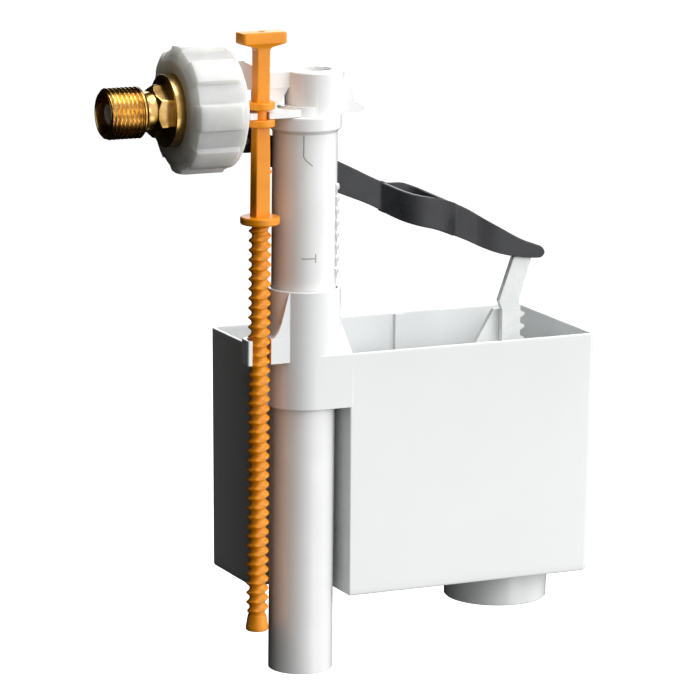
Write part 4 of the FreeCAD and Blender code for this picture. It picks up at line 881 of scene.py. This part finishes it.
def leverPiece():
    a = arm
    low, high = cornerOf("lever", 0), cornerOf("lever", 1)
    pin, pad = cornerOf("lever_pivot_pin", 0), cornerOf("pilot_seal_pad", 1)
    pivotX, pivotZ = pin[0] + 1.5, pin[2] + 1.5
    frontY, backY = low[1], pin[1] + 8.4
    tip = high[0]

    # the near arm: out from the hub, along, round the near side of the loop and on to the fork
    x = np.concatenate([np.linspace(53.0, 64.0, 10), np.linspace(66.0, 174.5, 110)])
    bow = np.clip((x - a["bowStart"]) / (a["bowEnd"] - a["bowStart"]), 0, 1)
    settle = np.clip((x - 53.0) / 11.0, 0, 1)
    hubY = (frontY + backY) / 2 + 1.5
    y = a["y"] - (a["y"] - hubY) * (1 - settle * settle * (3 - 2 * settle))
    y -= a["bow"] * np.sin(math.pi * bow) ** 1.15
    parts = [carried(x, y, a["plate"] / 2, flowing(x, a["top"]), flowing(x, a["low"]), a["edge"])]
    x = np.linspace(a["bowStart"] + 0.5, a["bowEnd"] - 0.5, 50)
    y = a["y"] + a["bow"] * np.sin(math.pi * (x - a["bowStart"]) / (a["bowEnd"] - a["bowStart"])) ** 1.15
    parts.append(carried(x, y, a["plate"] / 2, flowing(x, a["farTop"]), flowing(x, a["farLow"]), a["edge"]))

    # the fork: two cheeks that swell out of the arm to a round nose, joined above and beyond the slot
    noseStart = tip - 2.6
    x = np.concatenate([np.linspace(160.0, noseStart, 50), noseStart + 2.6 * np.sin(np.linspace(0.06, 1.5, 12))])
    middleZ = (flowing(x, a["top"]) + flowing(x, a["low"])) / 2
    tall = (flowing(x, a["top"]) - flowing(x, a["low"])) / 2
    tall *= np.sqrt(np.clip(1 - np.clip((x - noseStart) / 2.6, 0, 0.995) ** 2, 0, 1))
    swell = np.clip((x - 160.0) / (a["forkStart"] - 160.0), 0, 1)
    swell = swell * swell * (3 - 2 * swell)
    for side in (-1, 1):
        middleY = a["plate"] / 2 - a["cheek"] / 2 - 0.1
        offset = middleY + (a["slotHalf"] + a["cheek"] / 2 - middleY) * swell
        parts.append(carried(x, a["y"] + side * offset, a["cheek"] / 2, middleZ + tall, middleZ - tall, 0.5))
    for x0, x1 in ((a["forkStart"] - 6.0, a["slotX"][0]), (a["slotX"][1], tip - 0.5)):
        x = np.linspace(x0, x1, 14)
        parts.append(carried(x, np.full_like(x, a["y"]), a["slotHalf"] * np.interp(x, (167, 173), (0.35, 1.1)),
                             flowing(x, a["top"]) - 0.45, flowing(x, a["low"]) + 0.45, 0.2))
    x = np.linspace(a["slotX"][0] - 1.0, a["slotX"][1] + 1.0, 14)
    ridge = np.maximum(flowing(x, a["top"]) - 0.45, a["slotTop"] + 0.25)
    inside = ridge > a["slotTop"] + 0.3
    x, ridge = x[inside], ridge[inside]
    parts.append(carried(x, np.full_like(x, a["y"]), a["slotHalf"] + 0.3, ridge,
                         np.full_like(x, a["slotTop"]), 0.1))

    # the hub: two cheeks beside the valve's ear, the block they grow from and the short arm with the pad
    turnRound = np.linspace(math.pi / 2, 3 * math.pi / 2, 24)
    hub = np.concatenate([np.stack([pivotX + a["pivotRound"] * np.cos(turnRound),
                                    pivotZ + a["pivotRound"] * np.sin(turnRound)], 1),
                          [(pivotX + 6.5, pivotZ - a["pivotRound"]), (pivotX + 6.5, pivotZ + 4.0)]])
    for y0, y1 in ((frontY, a["earSlot"][0]), (a["earSlot"][1], backY)):
        parts.append(slab(hub, y0, y1, 0.3, "xz"))
    parts.append(block((pivotX + 4.7, 56.0), (frontY + 0.1, backY - 0.1), (pivotZ - 4.8, pivotZ + 3.8), 0.4))
    shortX = pad[0] - 1.5
    parts.append(block((shortX, shortX + a["shortArm"]), (frontY + 0.1, backY - 0.1),
                       (pivotZ + 5.6, a["shortTop"]), 0.35))
    for y0, y1 in ((frontY + 0.1, a["earSlot"][0]), (a["earSlot"][1], backY - 0.1)):
        parts.append(block((shortX, shortX + a["shortArm"]), (y0, y1), (pivotZ, pivotZ + 6.4), 0.3))
    standFor(pieceFrom("leverMoulding", parts, finishes["black_plastic"]), "lever")


leverPiece()


# the pin's ends stop inside the fork's cheeks, whose outsides are closed
def linkPinPiece():
    low, high = cornerOf("link_pin", 0), cornerOf("link_pin", 1)
    centre, r = (low + high) / 2 * (1, 0, 1), (high[0] - low[0]) / 2
    start, end = low[1] + 0.9, high[1] - 0.9
    profile = rounded([(start, 0), (start, r), (end, r), (end, 0)], [0, 0.2, 0.2, 0], 4)
    standFor(pieceFrom("linkPin", [turned(profile, centre, "y", 48)], finishes["steel"]), "link_pin")


linkPinPiece()

for pieceName, node, edge in (("valveHead", "valve_body", 0.3), ("linkRodPlate", "link_rod", 0.25),
                              ("floatPostFrame", "float_post", 0.25), ("floatFoam", "float_block", 1.5),
                              ("drainFlapDisc", "drain_flap", 0.2)):
    copyPiece = softCopy(pieceName, node, edge)
    if slotOfNode[node] == "natural_plastic":
        copyPiece.material_slots[0].material = finishes["thin_plastic"]
    standFor(copyPiece, node)
